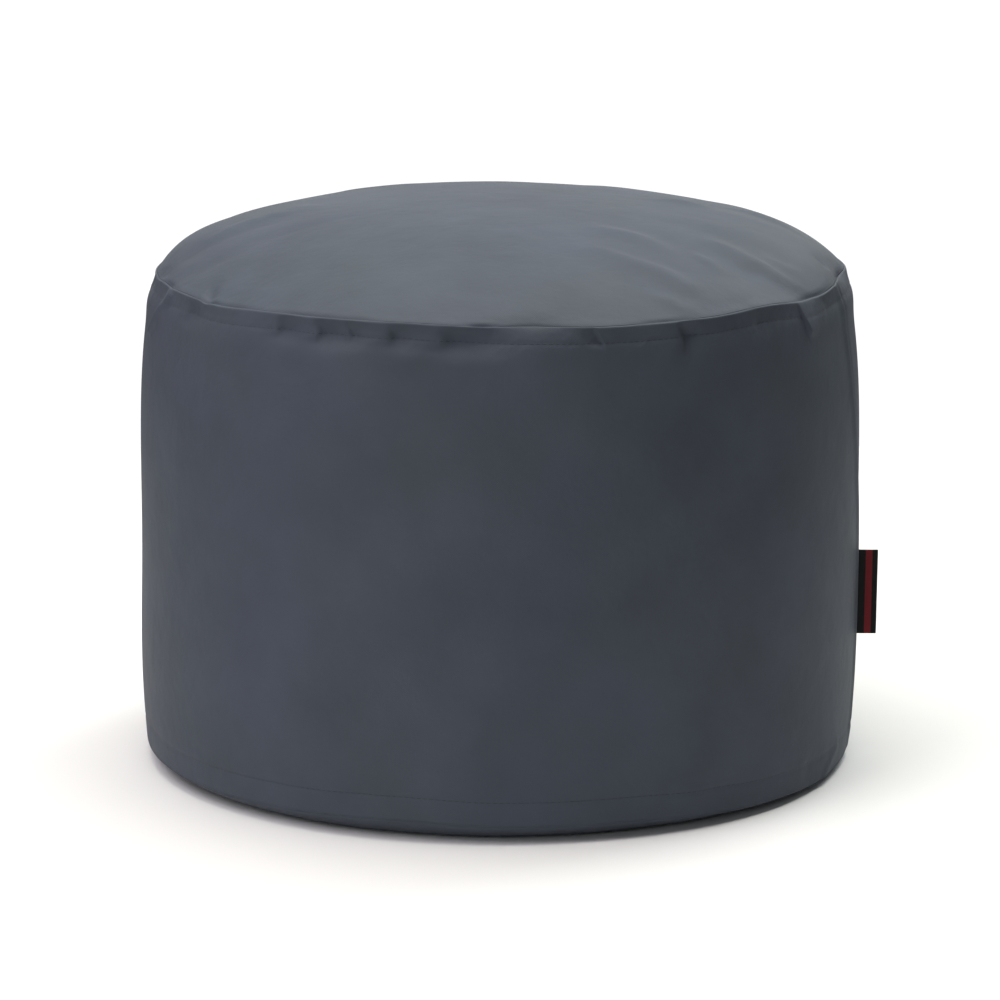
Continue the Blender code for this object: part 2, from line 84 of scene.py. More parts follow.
# Lift is upward and draw is outward, in millimetres, along the uneven sewn rims. The crown
# rolls over to its seam more tightly where the roll power is high.
Rim = namedtuple("Rim", "angle topLift topDraw baseLift baseDraw lowBelly rollPower")
rimRows = (
    Rim(8, 0.4, 0.0, -2.0, -2.0, -0.6, 8.5),
    Rim(40, 1.2, -0.6, 0.5, -1.0, 0.0, 7.6),
    Rim(75, -0.8, 0.4, 1.2, 0.0, 0.4, 8.4),
    Rim(110, 1.3, -0.5, -0.6, 0.4, 0.8, 8.6),
    Rim(145, -0.6, 0.3, 0.8, 0.6, 1.2, 7.0),
    Rim(163, 0.8, -0.8, 0.4, 0.7, 1.3, 7.8),
    Rim(180, 0.6, -2.1, 0.0, 0.8, 1.6, 11.5),
    Rim(195, 1.5, -1.8, -0.8, 0.6, 1.4, 6.5),
    Rim(206, 0.8, -0.6, -1.6, 0.2, 0.8, 4.4),
    Rim(219, -0.6, 0.0, -1.6, 0.0, 0.4, 4.0),
    Rim(234, 1.5, 0.2, -0.2, 0.0, 0.0, 4.0),
    Rim(256, 2.0, 0.4, 2.0, 0.0, 0.0, 4.0),
    Rim(270, 0.1, 0.0, 0.0, 0.0, 0.0, 4.0),
    Rim(290, -1.1, -0.2, -0.5, 0.0, 0.0, 4.0),
    Rim(304, -0.6, 0.0, -3.2, -0.4, 0.0, 4.0),
    Rim(317, 1.5, 0.0, -5.8, -1.2, 0.0, 4.0),
    Rim(331, -2.0, 0.2, -7.4, -2.6, -0.2, 5.0),
    Rim(344, 1.0, 0.0, -6.0, -3.0, -0.6, 8.0),
)

# Topstitched channels run below the top seam and above the base seam.
channels = {
    "topDrop": 0.0105,
    "baseRise": 0.0165,
    "depth": 0.0004,
    "halfWidth": 0.0016,
}

# Puckers gathered by the stitching: half width and lean in degrees, depth and the reach past
# the stitching in millimetres.
Pucker = namedtuple("Pucker", "angle halfWidth depth lean reach")
topPuckers = (
    Pucker(14, 3.6, 1.8, 0.6, 6), Pucker(33, 4.4, 2.4, -0.8, 8), Pucker(57, 3.2, 1.6, 0.4, 6),
    Pucker(78, 4.8, 2.6, -0.5, 7), Pucker(101, 3.6, 1.8, 0.8, 6), Pucker(122, 4.6, 2.4, 0.3, 9),
    Pucker(143, 3.2, 1.6, -0.7, 6), Pucker(164, 4.2, 2.2, 0.5, 7), Pucker(184, 3.4, 1.6, -0.4, 6),
    Pucker(213.2, 2.3, 3.4, -1.0, 8), Pucker(235.4, 2.1, 3.8, -0.6, 7), Pucker(242.4, 2.6, 5.0, 0.3, 8),
    Pucker(246.8, 1.4, 3.0, 0.3, 6), Pucker(254.8, 2.1, 4.0, -0.4, 7), Pucker(265, 4.3, 5.0, -0.5, 8),
    Pucker(300.3, 1.8, 4.0, 0.4, 16), Pucker(307, 2.6, 0.9, 0.8, 8),
    Pucker(316, 2.6, 1.2, -0.5, 8), Pucker(336, 2.8, 1.0, 0.4, 8),
)
basePuckers = (
    Pucker(22, 5.0, 0.9, 0.5, 8), Pucker(55, 4.2, 1.2, -0.5, 8), Pucker(92, 5.4, 0.9, 0.6, 8),
    Pucker(128, 4.6, 1.2, 0.4, 8), Pucker(161, 5.0, 1.1, -0.6, 8), Pucker(196, 4.8, 0.9, 0.5, 8),
    Pucker(222, 4.0, 0.7, -0.4, 8), Pucker(247, 3.8, 1.0, 0.4, 8), Pucker(285, 6.4, 0.9, -0.6, 8),
    Pucker(306, 4.6, 1.1, 0.5, 8), Pucker(330, 4.0, 0.8, -0.5, 8),
)
puckerShape = {
    "narrowing": 0.30,
    "softening": 1.35,
    "swellShift": 0.0130,
    "swellHalfWidth": 0.0100,
    "swellShare": 0.08,
}

# Between puckers the cloth rolls over from the crown to the side: half width in degrees, and
# how far the seam is drawn in, in millimetres.
SeamRoll = namedtuple("SeamRoll", "angle halfWidth depth")
seamRolls = (
    SeamRoll(226, 4.0, 1.2), SeamRoll(274.5, 6.5, 5.0), SeamRoll(293, 3.5, 1.0), SeamRoll(330, 4.0, 2.0),
    SeamRoll(350, 7.0, 4.0), SeamRoll(45, 7.0, 2.4), SeamRoll(90, 6.0, 1.8), SeamRoll(133, 6.0, 2.2),
    SeamRoll(174, 5.0, 1.2),
)
rollShape = {"onSide": 0.026, "onCrown": 0.020, "power": 4.5}

# The swell under the stitching, flatter across the front.
shoulderSwell = {
    "height": 0.0018, "below": 0.016, "halfWidth": 0.011,
    "frontAngle": -90.0, "frontReach": 65.0, "frontLoss": 0.85,
}

# Pointed flaps below the seam with one crisp edge, raised or sunk there and level again at
# their far edge: width and lean in degrees, lift and length in millimetres.
Flap = namedtuple("Flap", "angle width lift lean length")
flaps = (
    Flap(325.2, 9.5, 3.4, 2.8, 27), Flap(284.4, -6.0, -3.0, 1.8, 15), Flap(309.0, 5.0, 0.6, 1.5, 14),
    Flap(68, 8.0, 2.4, 2.0, 22),
)
flapShape = {"narrowing": 0.80, "edge": 0.06, "rise": 0.6, "fall": 0.35}

# Small uneven ripples along the top row of stitching.
ripples = {"height": 0.00005, "reach": 0.0075, "waves": (47, 71, 103, 139, 191), "seed": 11}

# Creases of the crown, from one place to another: radius is a share of the seam's radius,
# lift and half width are in millimetres.
CrownCrease = namedtuple("CrownCrease", "fromAngle fromRadius toAngle toRadius lift halfWidth")
crownCreases = (
    CrownCrease(9, 0.48, 356, 0.78, 0.9, 16.0),
    CrownCrease(356, 0.78, 351, 0.94, 0.9, 14.0),
    CrownCrease(326, 0.70, 331, 0.91, 1.0, 16.0),
    CrownCrease(331, 0.91, 341, 0.98, 0.8, 12.0),
    CrownCrease(291, 0.62, 301, 0.84, 0.7, 16.0),
    CrownCrease(301, 0.84, 316, 0.96, 0.8, 14.0),
    CrownCrease(318, 0.60, 322, 0.90, -1.0, 14.0),
    CrownCrease(191, 0.88, 175, 0.54, 1.2, 16.0),
    CrownCrease(196, 0.92, 186, 0.66, -1.0, 16.0),
    CrownCrease(28, 0.74, 78, 0.74, -1.1, 40.0),
    CrownCrease(62, 0.60, 48, 0.90, 0.5, 18.0),
    CrownCrease(118, 0.58, 131, 0.90, 0.5, 18.0),
)
creaseFade = 0.012

# Finer wrinkles of the crown, as lines of points in plan. Points and half widths are in
# millimetres. The wrinkle is highest at its crest point and dies away to both ends.
Wrinkle = namedtuple("Wrinkle", "points crest lift halfWidth")
crownWrinkles = (
    Wrinkle(((130, -78), (150, -98), (166, -110), (184, -117), (204, -112), (216, -104)), 0.55, 4.2, 9.0),
    Wrinkle(((168, -88), (188, -98), (208, -92)), 0.5, 2.0, 6.5),
    Wrinkle(((122, -112), (144, -134), (158, -146)), 0.5, 2.0, 6.0),
    Wrinkle(((50, -126), (62, -138), (86, -156), (110, -164), (132, -178), (158, -176)), 0.45, 3.5, 9.5),
    Wrinkle(((84, -186), (118, -196), (142, -188)), 0.5, 1.6, 6.5),
    Wrinkle(((50, -80), (66, -92), (96, -110), (122, -134)), 0.5, 2.6, 8.5),
    Wrinkle(((96, 34), (126, 22), (152, 6)), 0.5, 2.1, 8.0),
    Wrinkle(((150, 44), (178, 24), (200, 4), (216, -14)), 0.5, 2.5, 7.5),
    Wrinkle(((-206, -44), (-190, -37), (-166, -20), (-134, 2)), 0.3, 2.2, 8.0),
    Wrinkle(((-203, -92), (-190, -84), (-168, -70)), 0.35, -0.60, 9.0),
    Wrinkle(((-196, -146), (-192, -134), (-190, -112)), 0.3, -2.80, 5.0),
    Wrinkle(((-237, -30), (-233, -50), (-223, -74)), 0.4, -2.20, 6.0),
    Wrinkle(((226, -58), (219, -52), (214, -44)), 0.4, -1.50, 5.0),
    Wrinkle(((-26, -214), (-30, -190), (-34, -160)), 0.4, -0.50, 5.0),
    Wrinkle(((60, 120), (96, 150), (132, 168)), 0.5, 0.40, 9.0),
    Wrinkle(((-90, 120), (-118, 150), (-128, 182)), 0.5, 0.40, 9.0),
)

# Creases of the side: angle in degrees, height in metres, the rest in millimetres.
WallCrease = namedtuple("WallCrease", "fromAngle fromHeight toAngle toHeight lift halfWidth")
wallCreases = (
    WallCrease(203.5, 0.340, 194.0, 0.306, 2.8, 4.5),
    WallCrease(341.0, 0.030, 334.0, 0.012, 1.0, 6.0),
    WallCrease(58.0, 0.334, 66.0, 0.306, 1.4, 7.0),
    WallCrease(126.0, 0.334, 119.0, 0.304, 1.6, 7.0),
)

wallTaper = 0.6

# The upright seam leans: its angle at each height. Its folded ridge is on the front side.
Lean = namedtuple("Lean", "height angle")
seamLean = (
    Lean(0.000, -5.2), Lean(0.085, -5.9), Lean(0.151, -6.5),
    Lean(0.180, -8.0), Lean(0.270, -14.4), Lean(0.342, -17.0),
)
sideSeam = {
    "ridgeLift": 0.0016,
    "grooveDepth": 0.0012,
    "ridgeAngle": 1.6,
    "ridgeHalfAngle": 1.1,
    "grooveHalfAngle": 0.8,
    "fadeAtBase": 0.030,
    "fadeAtTop": 0.020,
    "keptAtTop": 0.35,
    "leanReach": 42.0,
    "gather": 0.62,
    "gatherReach": 5.5,
    "frontGather": 0.25,
    "frontAngle": -90.0,
}

# Where the top cloth dips into its seam: half width in degrees, depth in millimetres.
SeamDip = namedtuple("SeamDip", "angle halfWidth depth")
seamDips = (
    SeamDip(12, 5.0, 1.1), SeamDip(41, 4.0, 0.9), SeamDip(70, 6.0, 1.2), SeamDip(108, 5.0, 1.0),
    SeamDip(139, 4.0, 1.2), SeamDip(170, 5.0, 1.0), SeamDip(200, 4.0, 1.3), SeamDip(216, 2.5, 1.6),
    SeamDip(222, 5.0, 1.0), SeamDip(237, 3.5, 1.5), SeamDip(242, 2.5, 1.1), SeamDip(247, 3.0, 1.1),
    SeamDip(267, 2.0, 1.8), SeamDip(297, 4.0, 0.9), SeamDip(333, 6.0, 1.3), SeamDip(351, 4.0, 1.2),
)
seamEdge = {
    "sideRound": 0.0010,
    "topRound": 0.0003,
    "lipLift": 0.0011,
    "lipReach": 0.0080,
    "lipHiddenBy": 0.0025,
    "lipKept": 0.4,
    "dipReach": 0.0032,
}


def ease(share):
    share = np.clip(share, 0.0, 1.0)
    return share * share * (3.0 - 2.0 * share)


def bump(distance, halfWidth):
    return np.exp(-((distance / halfWidth) ** 2))


def plateau(distance, halfWidth):
    return np.exp(-((distance / halfWidth) ** 4))


def angleBetween(angle, other):
    return (angle - other + 180.0) % 360.0 - 180.0


def rimValue(angle, column):
    rows = (rimRows[-1], *rimRows, rimRows[0])
    stops = np.array([row.angle for row in rows], dtype=float)
    stops[0] -= 360.0
    stops[-1] += 360.0
    values = np.array([getattr(row, column) for row in rows]) * mm
    wrapped = angle % 360.0
    before = np.clip(np.searchsorted(stops, wrapped, side="right") - 1, 0, len(rows) - 2)
    share = (wrapped - stops[before]) / (stops[before + 1] - stops[before])
    return values[before] + (values[before + 1] - values[before]) * ease(share)


def crownHeight(radius):
    share = radius / stool["topSeamRadius"]
    roll = stool["rollRise"] * (1.0 - share ** stool["rollPower"])
    return stool["topSeamHeight"] + roll + stool["domeRise"] * (1.0 - share ** 2)


def crownSlope(radius):
    share = radius / stool["topSeamRadius"]
    roll = stool["rollRise"] * stool["rollPower"] * share ** (stool["rollPower"] - 1.0)
    return (roll + stool["domeRise"] * 2.0 * share) / stool["topSeamRadius"]


def rollLift(radius, angle):
    # How far the crown's roll stands off its mean, for the roll power at this angle.
    share = np.clip(radius / stool["topSeamRadius"], 0.0, 1.0)
    power = rimValue(angle, "rollPower") / mm
    return stool["rollRise"] * (share ** stool["rollPower"] - share ** power)


def heelShare(radius):
    reach = stool["baseSeamRadius"] - stool["floorRadius"]
    return np.maximum(0.0, radius - stool["floorRadius"]) / reach


def heelRise(radius):
    return stool["baseSeamHeight"] * heelShare(radius) ** 2


def heelSlope(radius):
    reach = stool["baseSeamRadius"] - stool["floorRadius"]
    return 2.0 * stool["baseSeamHeight"] * heelShare(radius) / reach


def wallRadius(height):
    shoulder = (height - stool["shoulderStart"]) / (stool["topSeamHeight"] - stool["shoulderStart"])
    heel = (stool["heelStart"] - height) / (stool["heelStart"] - stool["baseSeamHeight"])
    radius = stool["bellyRadius"] * np.ones_like(height)
    drawnIn = stool["bellyRadius"] - stool["topSeamRadius"]
    radius -= drawnIn * np.maximum(shoulder, 0.0) ** stool["shoulderPower"]
    radius -= (stool["bellyRadius"] - stool["baseSeamRadius"]) * np.maximum(heel, 0.0) ** 2
    topStitch = stool["topSeamHeight"] - channels["topDrop"]
    baseStitch = stool["baseSeamHeight"] + channels["baseRise"]
    for stitch in (topStitch, baseStitch):
        radius -= channels["depth"] * bump(height - stitch, channels["halfWidth"])
    return radius


def placedAngle(turn, height, reach):
    crowding = math.degrees(sideSeam["frontGather"])
    front = sideSeam["frontAngle"]
    atSeam = math.sin(math.radians(front))
    angle = turn - crowding * (np.sin(np.radians(turn - front)) + atSeam)
    away = angleBetween(angle, 0.0)
    angle = angle - reach * sideSeam["gather"] * away * bump(away, sideSeam["gatherReach"])
    lean = np.interp(height, [row.height for row in seamLean], [row.angle for row in seamLean])
    return angle + reach * lean * bump(angleBetween(angle, 0.0), sideSeam["leanReach"])


def creaseStrength(across, up, start, end, halfWidth, taper=0.0):
    run = np.array(end) - np.array(start)
    length = float(np.hypot(*run))
    unit = run / length
    along = (across - start[0]) * unit[0] + (up - start[1]) * unit[1]
    off = (up - start[1]) * unit[0] - (across - start[0]) * unit[1]
    fade = ease(along / halfWidth + 0.5) * ease((length - along) / halfWidth + 0.5)
    narrowed = halfWidth * (1.0 - taper * np.clip(along / length, 0.0, 1.0))
    return bump(off, narrowed) * fade


def crownLift(x, y):
    lift = np.zeros_like(x)
    for fold in crownCreases:
        ends = []
        for angle, share in ((fold.fromAngle, fold.fromRadius), (fold.toAngle, fold.toRadius)):
            radius = share * stool["topSeamRadius"]
            ends.append((radius * math.cos(math.radians(angle)), radius * math.sin(math.radians(angle))))
        lift += fold.lift * mm * creaseStrength(x, y, ends[0], ends[1], fold.halfWidth * mm)
    return lift


def wallPush(angle, height):
    push = np.zeros_like(angle)
    perDegree = math.radians(1.0) * stool["bellyRadius"]
    for fold in wallCreases:
        across = angleBetween(angle, fold.fromAngle) * perDegree
        end = (angleBetween(fold.toAngle, fold.fromAngle) * perDegree, fold.toHeight)
        start = (0.0, fold.fromHeight)
        halfWidth = fold.halfWidth * mm
        push += fold.lift * mm * creaseStrength(across, height, start, end, halfWidth, wallTaper)
    return push


def puckerPush(angle, below, puckers, drop):
    # A pucker leans in from the seam to the stitching, comes back out and ends in a swell.
    past = below - drop
    share = np.clip(below / drop, 0.0, 1.0)
    inward = 0.5 * (share + np.sin(share * math.pi / 2.0))
    swell = bump(past - puckerShape["swellShift"], puckerShape["swellHalfWidth"])
    push = np.zeros_like(angle)
    for pucker in puckers:
        away = angleBetween(angle, pucker.angle + pucker.lean * share)
        sharp = plateau(away, pucker.halfWidth * (1.0 - puckerShape["narrowing"] * share))
        soft = bump(away, pucker.halfWidth * puckerShape["softening"])
        fromLeft = ease(0.5 + away / pucker.halfWidth)
        across = sharp + (soft - sharp) * np.maximum(fromLeft, ease(past / (pucker.reach * mm)))
        dip = np.where(past < 0.0, inward, bump(past, pucker.reach * mm))
        push += pucker.depth * mm * across * (puckerShape["swellShare"] * swell - dip)
    return push


def flapPush(angle, below):
    push = np.zeros_like(angle)
    for flap in flaps:
        share = np.clip(below / (flap.length * mm), 0.0, 1.0)
        width = flap.width * (1.0 - flapShape["narrowing"] * share)
        across = angleBetween(angle, flap.angle + flap.lean * share) / width
        slope = ease(1.0 + across / flapShape["edge"]) * np.clip(1.0 - across, 0.0, 1.0)
        fade = share ** flapShape["rise"] * ease((1.0 - share) / flapShape["fall"])
        push += flap.lift * mm * slope * fade
    return push


def rollDepth(angle):
    depth = np.zeros_like(angle)
    for roll in seamRolls:
        depth += roll.depth * mm * bump(angleBetween(angle, roll.angle), roll.halfWidth)
    return depth


def rollPush(angle, below):
    # The seam is drawn in on both sides of it, most steeply at the seam.
    side = np.clip(1.0 - below / rollShape["onSide"], 0.0, 1.0) ** rollShape["power"]
    crown = np.clip(1.0 + below / rollShape["onCrown"], 0.0, 1.0) ** 2
    return -rollDepth(angle) * np.where(below < 0.0, crown, side)


def ripplePush(angle, below, drop):
    phases = np.random.default_rng(ripples["seed"]).uniform(0.0, 360.0, (len(ripples["waves"]), 2))
    push = np.zeros_like(angle)
    for waves, (start, lean) in zip(ripples["waves"], phases):
        push += np.sin(np.radians(waves * angle + start + lean * below / ripples["reach"]))
    return push * ripples["height"] * bump(below - drop, ripples["reach"])


def wrinkleLift(x, y):
    lift = np.zeros_like(x)
    place = np.stack((x, y), axis=-1)
    for wrinkle in crownWrinkles:
        points = np.array(wrinkle.points, dtype=float) * mm
        lengths = np.hypot(*np.diff(points, axis=0).T)
        before = np.concatenate(([0.0], np.cumsum(lengths))) / lengths.sum()
        off = np.full(x.shape, np.inf)
        share = np.zeros(x.shape)
        for start, end, first, last in zip(points, points[1:], before, before[1:]):
            run = end - start
            along = np.clip(((place - start) @ run) / (run @ run), 0.0, 1.0)
            away = np.hypot(*np.moveaxis(place - start - along[..., None] * run, -1, 0))
            share = np.where(away < off, first + (last - first) * along, share)
            off = np.minimum(off, away)
        crest = wrinkle.crest
        rise = np.where(share < crest, share / crest, (1.0 - share) / (1.0 - crest))
        lift += wrinkle.lift * mm * ease(rise) * bump(off, wrinkle.halfWidth * mm)
    return lift


def sideSeamPush(away, height):
    atBase = ease(height / sideSeam["fadeAtBase"])
    atTop = ease((stool["topSeamHeight"] - height) / sideSeam["fadeAtTop"] + sideSeam["keptAtTop"])
    ridge = sideSeam["ridgeLift"] * bump(away + sideSeam["ridgeAngle"], sideSeam["ridgeHalfAngle"])
    groove = sideSeam["grooveDepth"] * bump(away, sideSeam["grooveHalfAngle"])
    return (ridge - groove) * atBase * atTop


def settle(radius, height, turn):
    # Takes and gives radius and height in metres and an angle in degrees, as arrays of one shape.
    seamRadius, seamHeight = stool["topSeamRadius"], stool["topSeamHeight"]
    baseRadius, baseHeight = stool["baseSeamRadius"], stool["baseSeamHeight"]
    rim = np.clip(radius / seamRadius, 0.0, 1.0) ** stool["rimPower"]
    angle = placedAngle(turn, height, rim)
    away = angleBetween(angle, placedAngle(np.zeros_like(turn), height, rim))

    raised = ease((height - stool["topLiftStart"]) / (seamHeight - stool["topLiftStart"]))
    drawn = ease((height - stool["topDrawStart"]) / (seamHeight - stool["topDrawStart"]))
    low = ease((stool["baseReach"] - height) / (stool["baseReach"] - baseHeight))
    heel = np.clip((radius - stool["floorRadius"]) / (baseRadius - stool["floorRadius"]), 0.0, 1.0)
    offFloor = ease(height / baseHeight)
    onCrown = ease((height - seamHeight) / creaseFade + 0.5)
    onWall = height <= seamHeight

    push = drawn * rimValue(angle, "topDraw") + low * rimValue(angle, "baseDraw")
    push += bump(height - stool["lowBellyHeight"], stool["lowBellyHalfWidth"]) * rimValue(angle, "lowBelly")
    push += puckerPush(angle, seamHeight - height, topPuckers, channels["topDrop"]) * onWall
    push += puckerPush(angle, height - baseHeight, basePuckers, channels["baseRise"]) * offFloor
    push += flapPush(angle, seamHeight - height) * onWall
    push += ripplePush(angle, seamHeight - height, channels["topDrop"]) * onWall
    push += wallPush(angle, height) * (1.0 - onCrown)
    push += rollPush(angle, np.where(onWall, seamHeight - height, radius - seamRadius))
    fromSwell = seamHeight - height - shoulderSwell["below"]
    swell = shoulderSwell["height"] * bump(fromSwell, shoulderSwell["halfWidth"]) * onWall
    acrossFront = plateau(angleBetween(angle, shoulderSwell["frontAngle"]), shoulderSwell["frontReach"])
    push += swell * (1.0 - shoulderSwell["frontLoss"] * acrossFront)
    push += sideSeamPush(away, height)

    radians = np.radians(angle)
    x, y = radius * np.cos(radians), radius * np.sin(radians)
    lift = rim * raised * rimValue(angle, "topLift")
    lift += heel ** 2 * low * rimValue(angle, "baseLift")
    lift += onCrown * (crownLift(x, y) + wrinkleLift(x, y))
    lift += onCrown * rollLift(radius, angle)
    return radius + rim * push, height + lift, angle


# A profile is rows of (out, up, faceOut, faceUp): a point of the cloth, and the point of the
# outer face that it follows.
def setBack(faceOut, faceUp, slope, depth, shift=0.0):
    length = np.hypot(1.0, slope)
    out = faceOut - depth * slope / length + shift / length
    up = faceUp - (depth + shift * slope) / length
    return np.stack((out, up, faceOut, faceUp), axis=-1)


def crownRows(radius, depth, shift=0.0):
    radius = np.atleast_1d(np.asarray(radius, dtype=float))
    return setBack(radius, crownHeight(radius), crownSlope(radius), depth, shift)


def baseRows(radius, depth, shift=0.0):
    radius = np.atleast_1d(np.asarray(radius, dtype=float))
    rows = setBack(radius, -heelRise(radius), heelSlope(radius), depth, shift)
    return rows * np.array((1.0, -1.0, 1.0, -1.0))


def wallRows(height):
    radius = wallRadius(height)
    return np.stack((radius, height, radius, height), axis=-1)


def roundedEdge(distance, radius):
    # How far an edge of this rounding stands back at a distance from the seam.
    share = np.clip(1.0 - distance / radius, 0.0, 1.0)
    return radius * (1.0 - np.sqrt(1.0 - share ** 2))


def steps(start, end, size):
    return np.linspace(start, end, max(2, round(abs(end - start) / size) + 1))[:-1]


# Where the wall's rows change from close to wide and back, in metres up from the floor.
wallBands = {"shoulder": 0.321, "upper": 0.300, "lower": 0.064, "heel": 0.038}


def wallHeights():
    seam, base = stool["topSeamHeight"], stool["baseSeamHeight"]
    shoulder, upper = wallBands["shoulder"], wallBands["upper"]
    lower, heel = wallBands["lower"], wallBands["heel"]
    topStitch, baseStitch = seam - channels["topDrop"], base + channels["baseRise"]
    parts = (
        steps(seam, seam - 0.0016, 0.0002), steps(seam - 0.0016, topStitch, 0.0011),
        steps(topStitch, shoulder, 0.0012), steps(shoulder, upper, 0.0024),
        steps(upper, lower, 0.0056), steps(lower, heel, 0.0026), steps(heel, baseStitch, 0.0012),
        steps(baseStitch, base + 0.0014, 0.0015), steps(base + 0.0014, base, 0.0003), (base,),
    )
    return np.concatenate(parts)


def layCloth(rows, turns):
    faceOut = np.repeat(rows[:, 2:3], len(turns), axis=1)
    faceUp = np.repeat(rows[:, 3:4], len(turns), axis=1)
    turned = np.repeat(turns[None, :], len(rows), axis=0)
    radius, height, angle = settle(faceOut, faceUp, turned)
    return radius + rows[:, 0:1] - faceOut, height + rows[:, 1:2] - faceUp, angle


def gridPoints(radius, height, angle):
    radians = np.radians(angle)
    return np.stack((radius * np.cos(radians), radius * np.sin(radians), height), axis=-1)


def turnedMesh(name, points, acrossUv, alongUv):
    # Points are rows by columns. The first and the last row are poles on the axis.
    count = points.shape[1]
    firstPole, lastPole = points[0].mean(axis=0)[None, :], points[-1].mean(axis=0)[None, :]
    vertices = np.concatenate((firstPole, points[1:-1].reshape(-1, 3), lastPole))
    rings = np.arange(1, len(vertices) - 1).reshape(-1, count)
    following = np.roll(rings, -1, axis=1)
    quads = np.stack((rings[:-1], rings[1:], following[1:], following[:-1]), axis=-1).reshape(-1, 4)
    first = np.stack((np.zeros(count, dtype=int), rings[0], following[0]), axis=-1)
    last = np.stack((rings[-1], np.full(count, len(vertices) - 1), following[-1]), axis=-1)
    mesh = bpy.data.meshes.new(name)
    mesh.from_pydata(vertices.tolist(), [], first.tolist() + quads.tolist() + last.tolist())

    u = np.broadcast_to(acrossUv, (points.shape[0], count + 1))
    v = np.broadcast_to(alongUv, (points.shape[0], count + 1))
    grid = np.stack((u, v), axis=-1)
    left, right = grid[:, :-1], grid[:, 1:]
    quadUv = np.stack((left[1:-2], left[2:-1], right[2:-1], right[1:-2]), axis=2).reshape(-1, 2)
    firstUv = np.stack((left[0], left[1], right[1]), axis=1).reshape(-1, 2)
    lastUv = np.stack((left[-2], left[-1], right[-2]), axis=1).reshape(-1, 2)
    layer = mesh.uv_layers.new(name="cloth")
    layer.data.foreach_set("uv", np.concatenate((firstUv, quadUv, lastUv)).astype(np.float32).ravel())
    mesh.shade_smooth()
    return mesh


def placePiece(name, mesh, material):
    piece = bpy.data.objects.new(name, mesh)
    bpy.context.scene.collection.objects.link(piece)
    mesh.materials.clear()
    mesh.materials.append(material)
    return piece


def runningLength(rows):
    lengths = np.hypot(np.diff(rows[:, 0]), np.diff(rows[:, 1]))
    return np.concatenate(([0.0], np.cumsum(lengths)))


def flatUv(points):
    # A round of cloth is cut flat, so its threads run straight across it.
    looped = np.concatenate((points, points[:, :1]), axis=1)
    return looped[:, :, 0], looped[:, :, 1]


turns = np.arange(stool["columns"]) * 360.0 / stool["columns"]


def sideCloth():
    rebate = stool["clothThickness"] + stool["clothGap"]
    half = 0.5 * stool["clothGap"]
    seamRadius, baseRadius = stool["topSeamRadius"], stool["baseSeamRadius"]
    heights = wallHeights()
    wall = wallRows(heights)
    fromSeam = stool["topSeamHeight"] - heights
    wall[:, 0] -= roundedEdge(heights - stool["baseSeamHeight"], seamEdge["sideRound"])
    innerBase = np.array((0.97, 0.88, 0.60, 0.0)) * stool["floorRadius"]
    rows = np.concatenate((
        crownRows(np.array((0.0, 0.45, 0.70, 0.85, 0.94, 0.98)) * seamRadius, rebate),
        crownRows(seamRadius, rebate, half),
        wall,
        baseRows(baseRadius, rebate, half),
        baseRows((stool["floorRadius"] + baseRadius) / 2.0, rebate),
        baseRows(innerBase, rebate),
    ))
    firstWall = 7
    radius, height, angle = layCloth(rows, turns)

    # The folded edge stands proud of the top cloth, but less where the cloth rolls over.
    wallPart = slice(firstWall, firstWall + len(heights))
    lip = seamEdge["lipLift"] * ease(1.0 - fromSeam / seamEdge["lipReach"])
    lip -= roundedEdge(fromSeam, seamEdge["lipLift"])
    rolled = np.clip(rollDepth(angle[wallPart]) / seamEdge["lipHiddenBy"], 0.0, 1.0)
    radius[wallPart] += lip[:, None] * (1.0 - (1.0 - seamEdge["lipKept"]) * rolled)
    return rows, gridPoints(radius, height, angle), firstWall, heights


def topCloth():
    half = 0.5 * stool["clothGap"]
    seamRadius = stool["topSeamRadius"]
    radii = np.concatenate((
        steps(0.0, 0.200, 0.0042), steps(0.200, 0.228, 0.0026), steps(0.228, seamRadius - 0.0022, 0.0012),
        steps(seamRadius - 0.0022, seamRadius, 0.0002),
    ))
    slope = crownSlope(radii)
    fromSeam = (seamRadius - radii) * np.hypot(1.0, slope)
    edge = seamEdge["topRound"]
    outer = np.concatenate((
        crownRows(radii, roundedEdge(fromSeam, edge)),
        crownRows(seamRadius, edge, -half),
    ))
    under = np.array((0.98, 0.94, 0.85, 0.70, 0.45, 0.0)) * seamRadius
    rows = np.concatenate((
        outer,
        crownRows(seamRadius, stool["clothThickness"], -half),
        crownRows(under, stool["clothThickness"]),
    ))
    radius, height, angle = layCloth(rows, turns)

    # The dips at the seam sink the outer face only, square to it.
    dip = np.zeros_like(angle)
    for place in seamDips:
        dip += place.depth * mm * bump(angleBetween(angle, place.angle), place.halfWidth)
    along = np.concatenate((fromSeam, (0.0,), np.full(len(rows) - len(outer), np.inf)))
    sink = dip * bump(along, seamEdge["dipReach"])[:, None]
    normal = crownSlope(rows[:, 2]) / np.hypot(1.0, crownSlope(rows[:, 2]))
    radius = radius - sink * normal[:, None]
    height = height - sink * np.sqrt(1.0 - normal ** 2)[:, None]
    return gridPoints(radius, height, angle)


def baseCloth():
    half = 0.5 * stool["clothGap"]
    baseRadius, floorRadius = stool["baseSeamRadius"], stool["floorRadius"]
    rim = steps(floorRadius, baseRadius, 0.0026)
    flat = np.array((0.0, 0.45, 0.80, 0.95)) * floorRadius
    radii = np.concatenate((flat, rim))
    rows = np.concatenate((
        baseRows(radii, stool["clothThickness"]),
        baseRows(baseRadius, stool["clothThickness"], -half),
        baseRows(baseRadius, 0.0, -half),
        baseRows(radii[::-1], 0.0),
    ))
    radius, height, angle = layCloth(rows, turns[::2])
    return gridPoints(radius, height, angle)


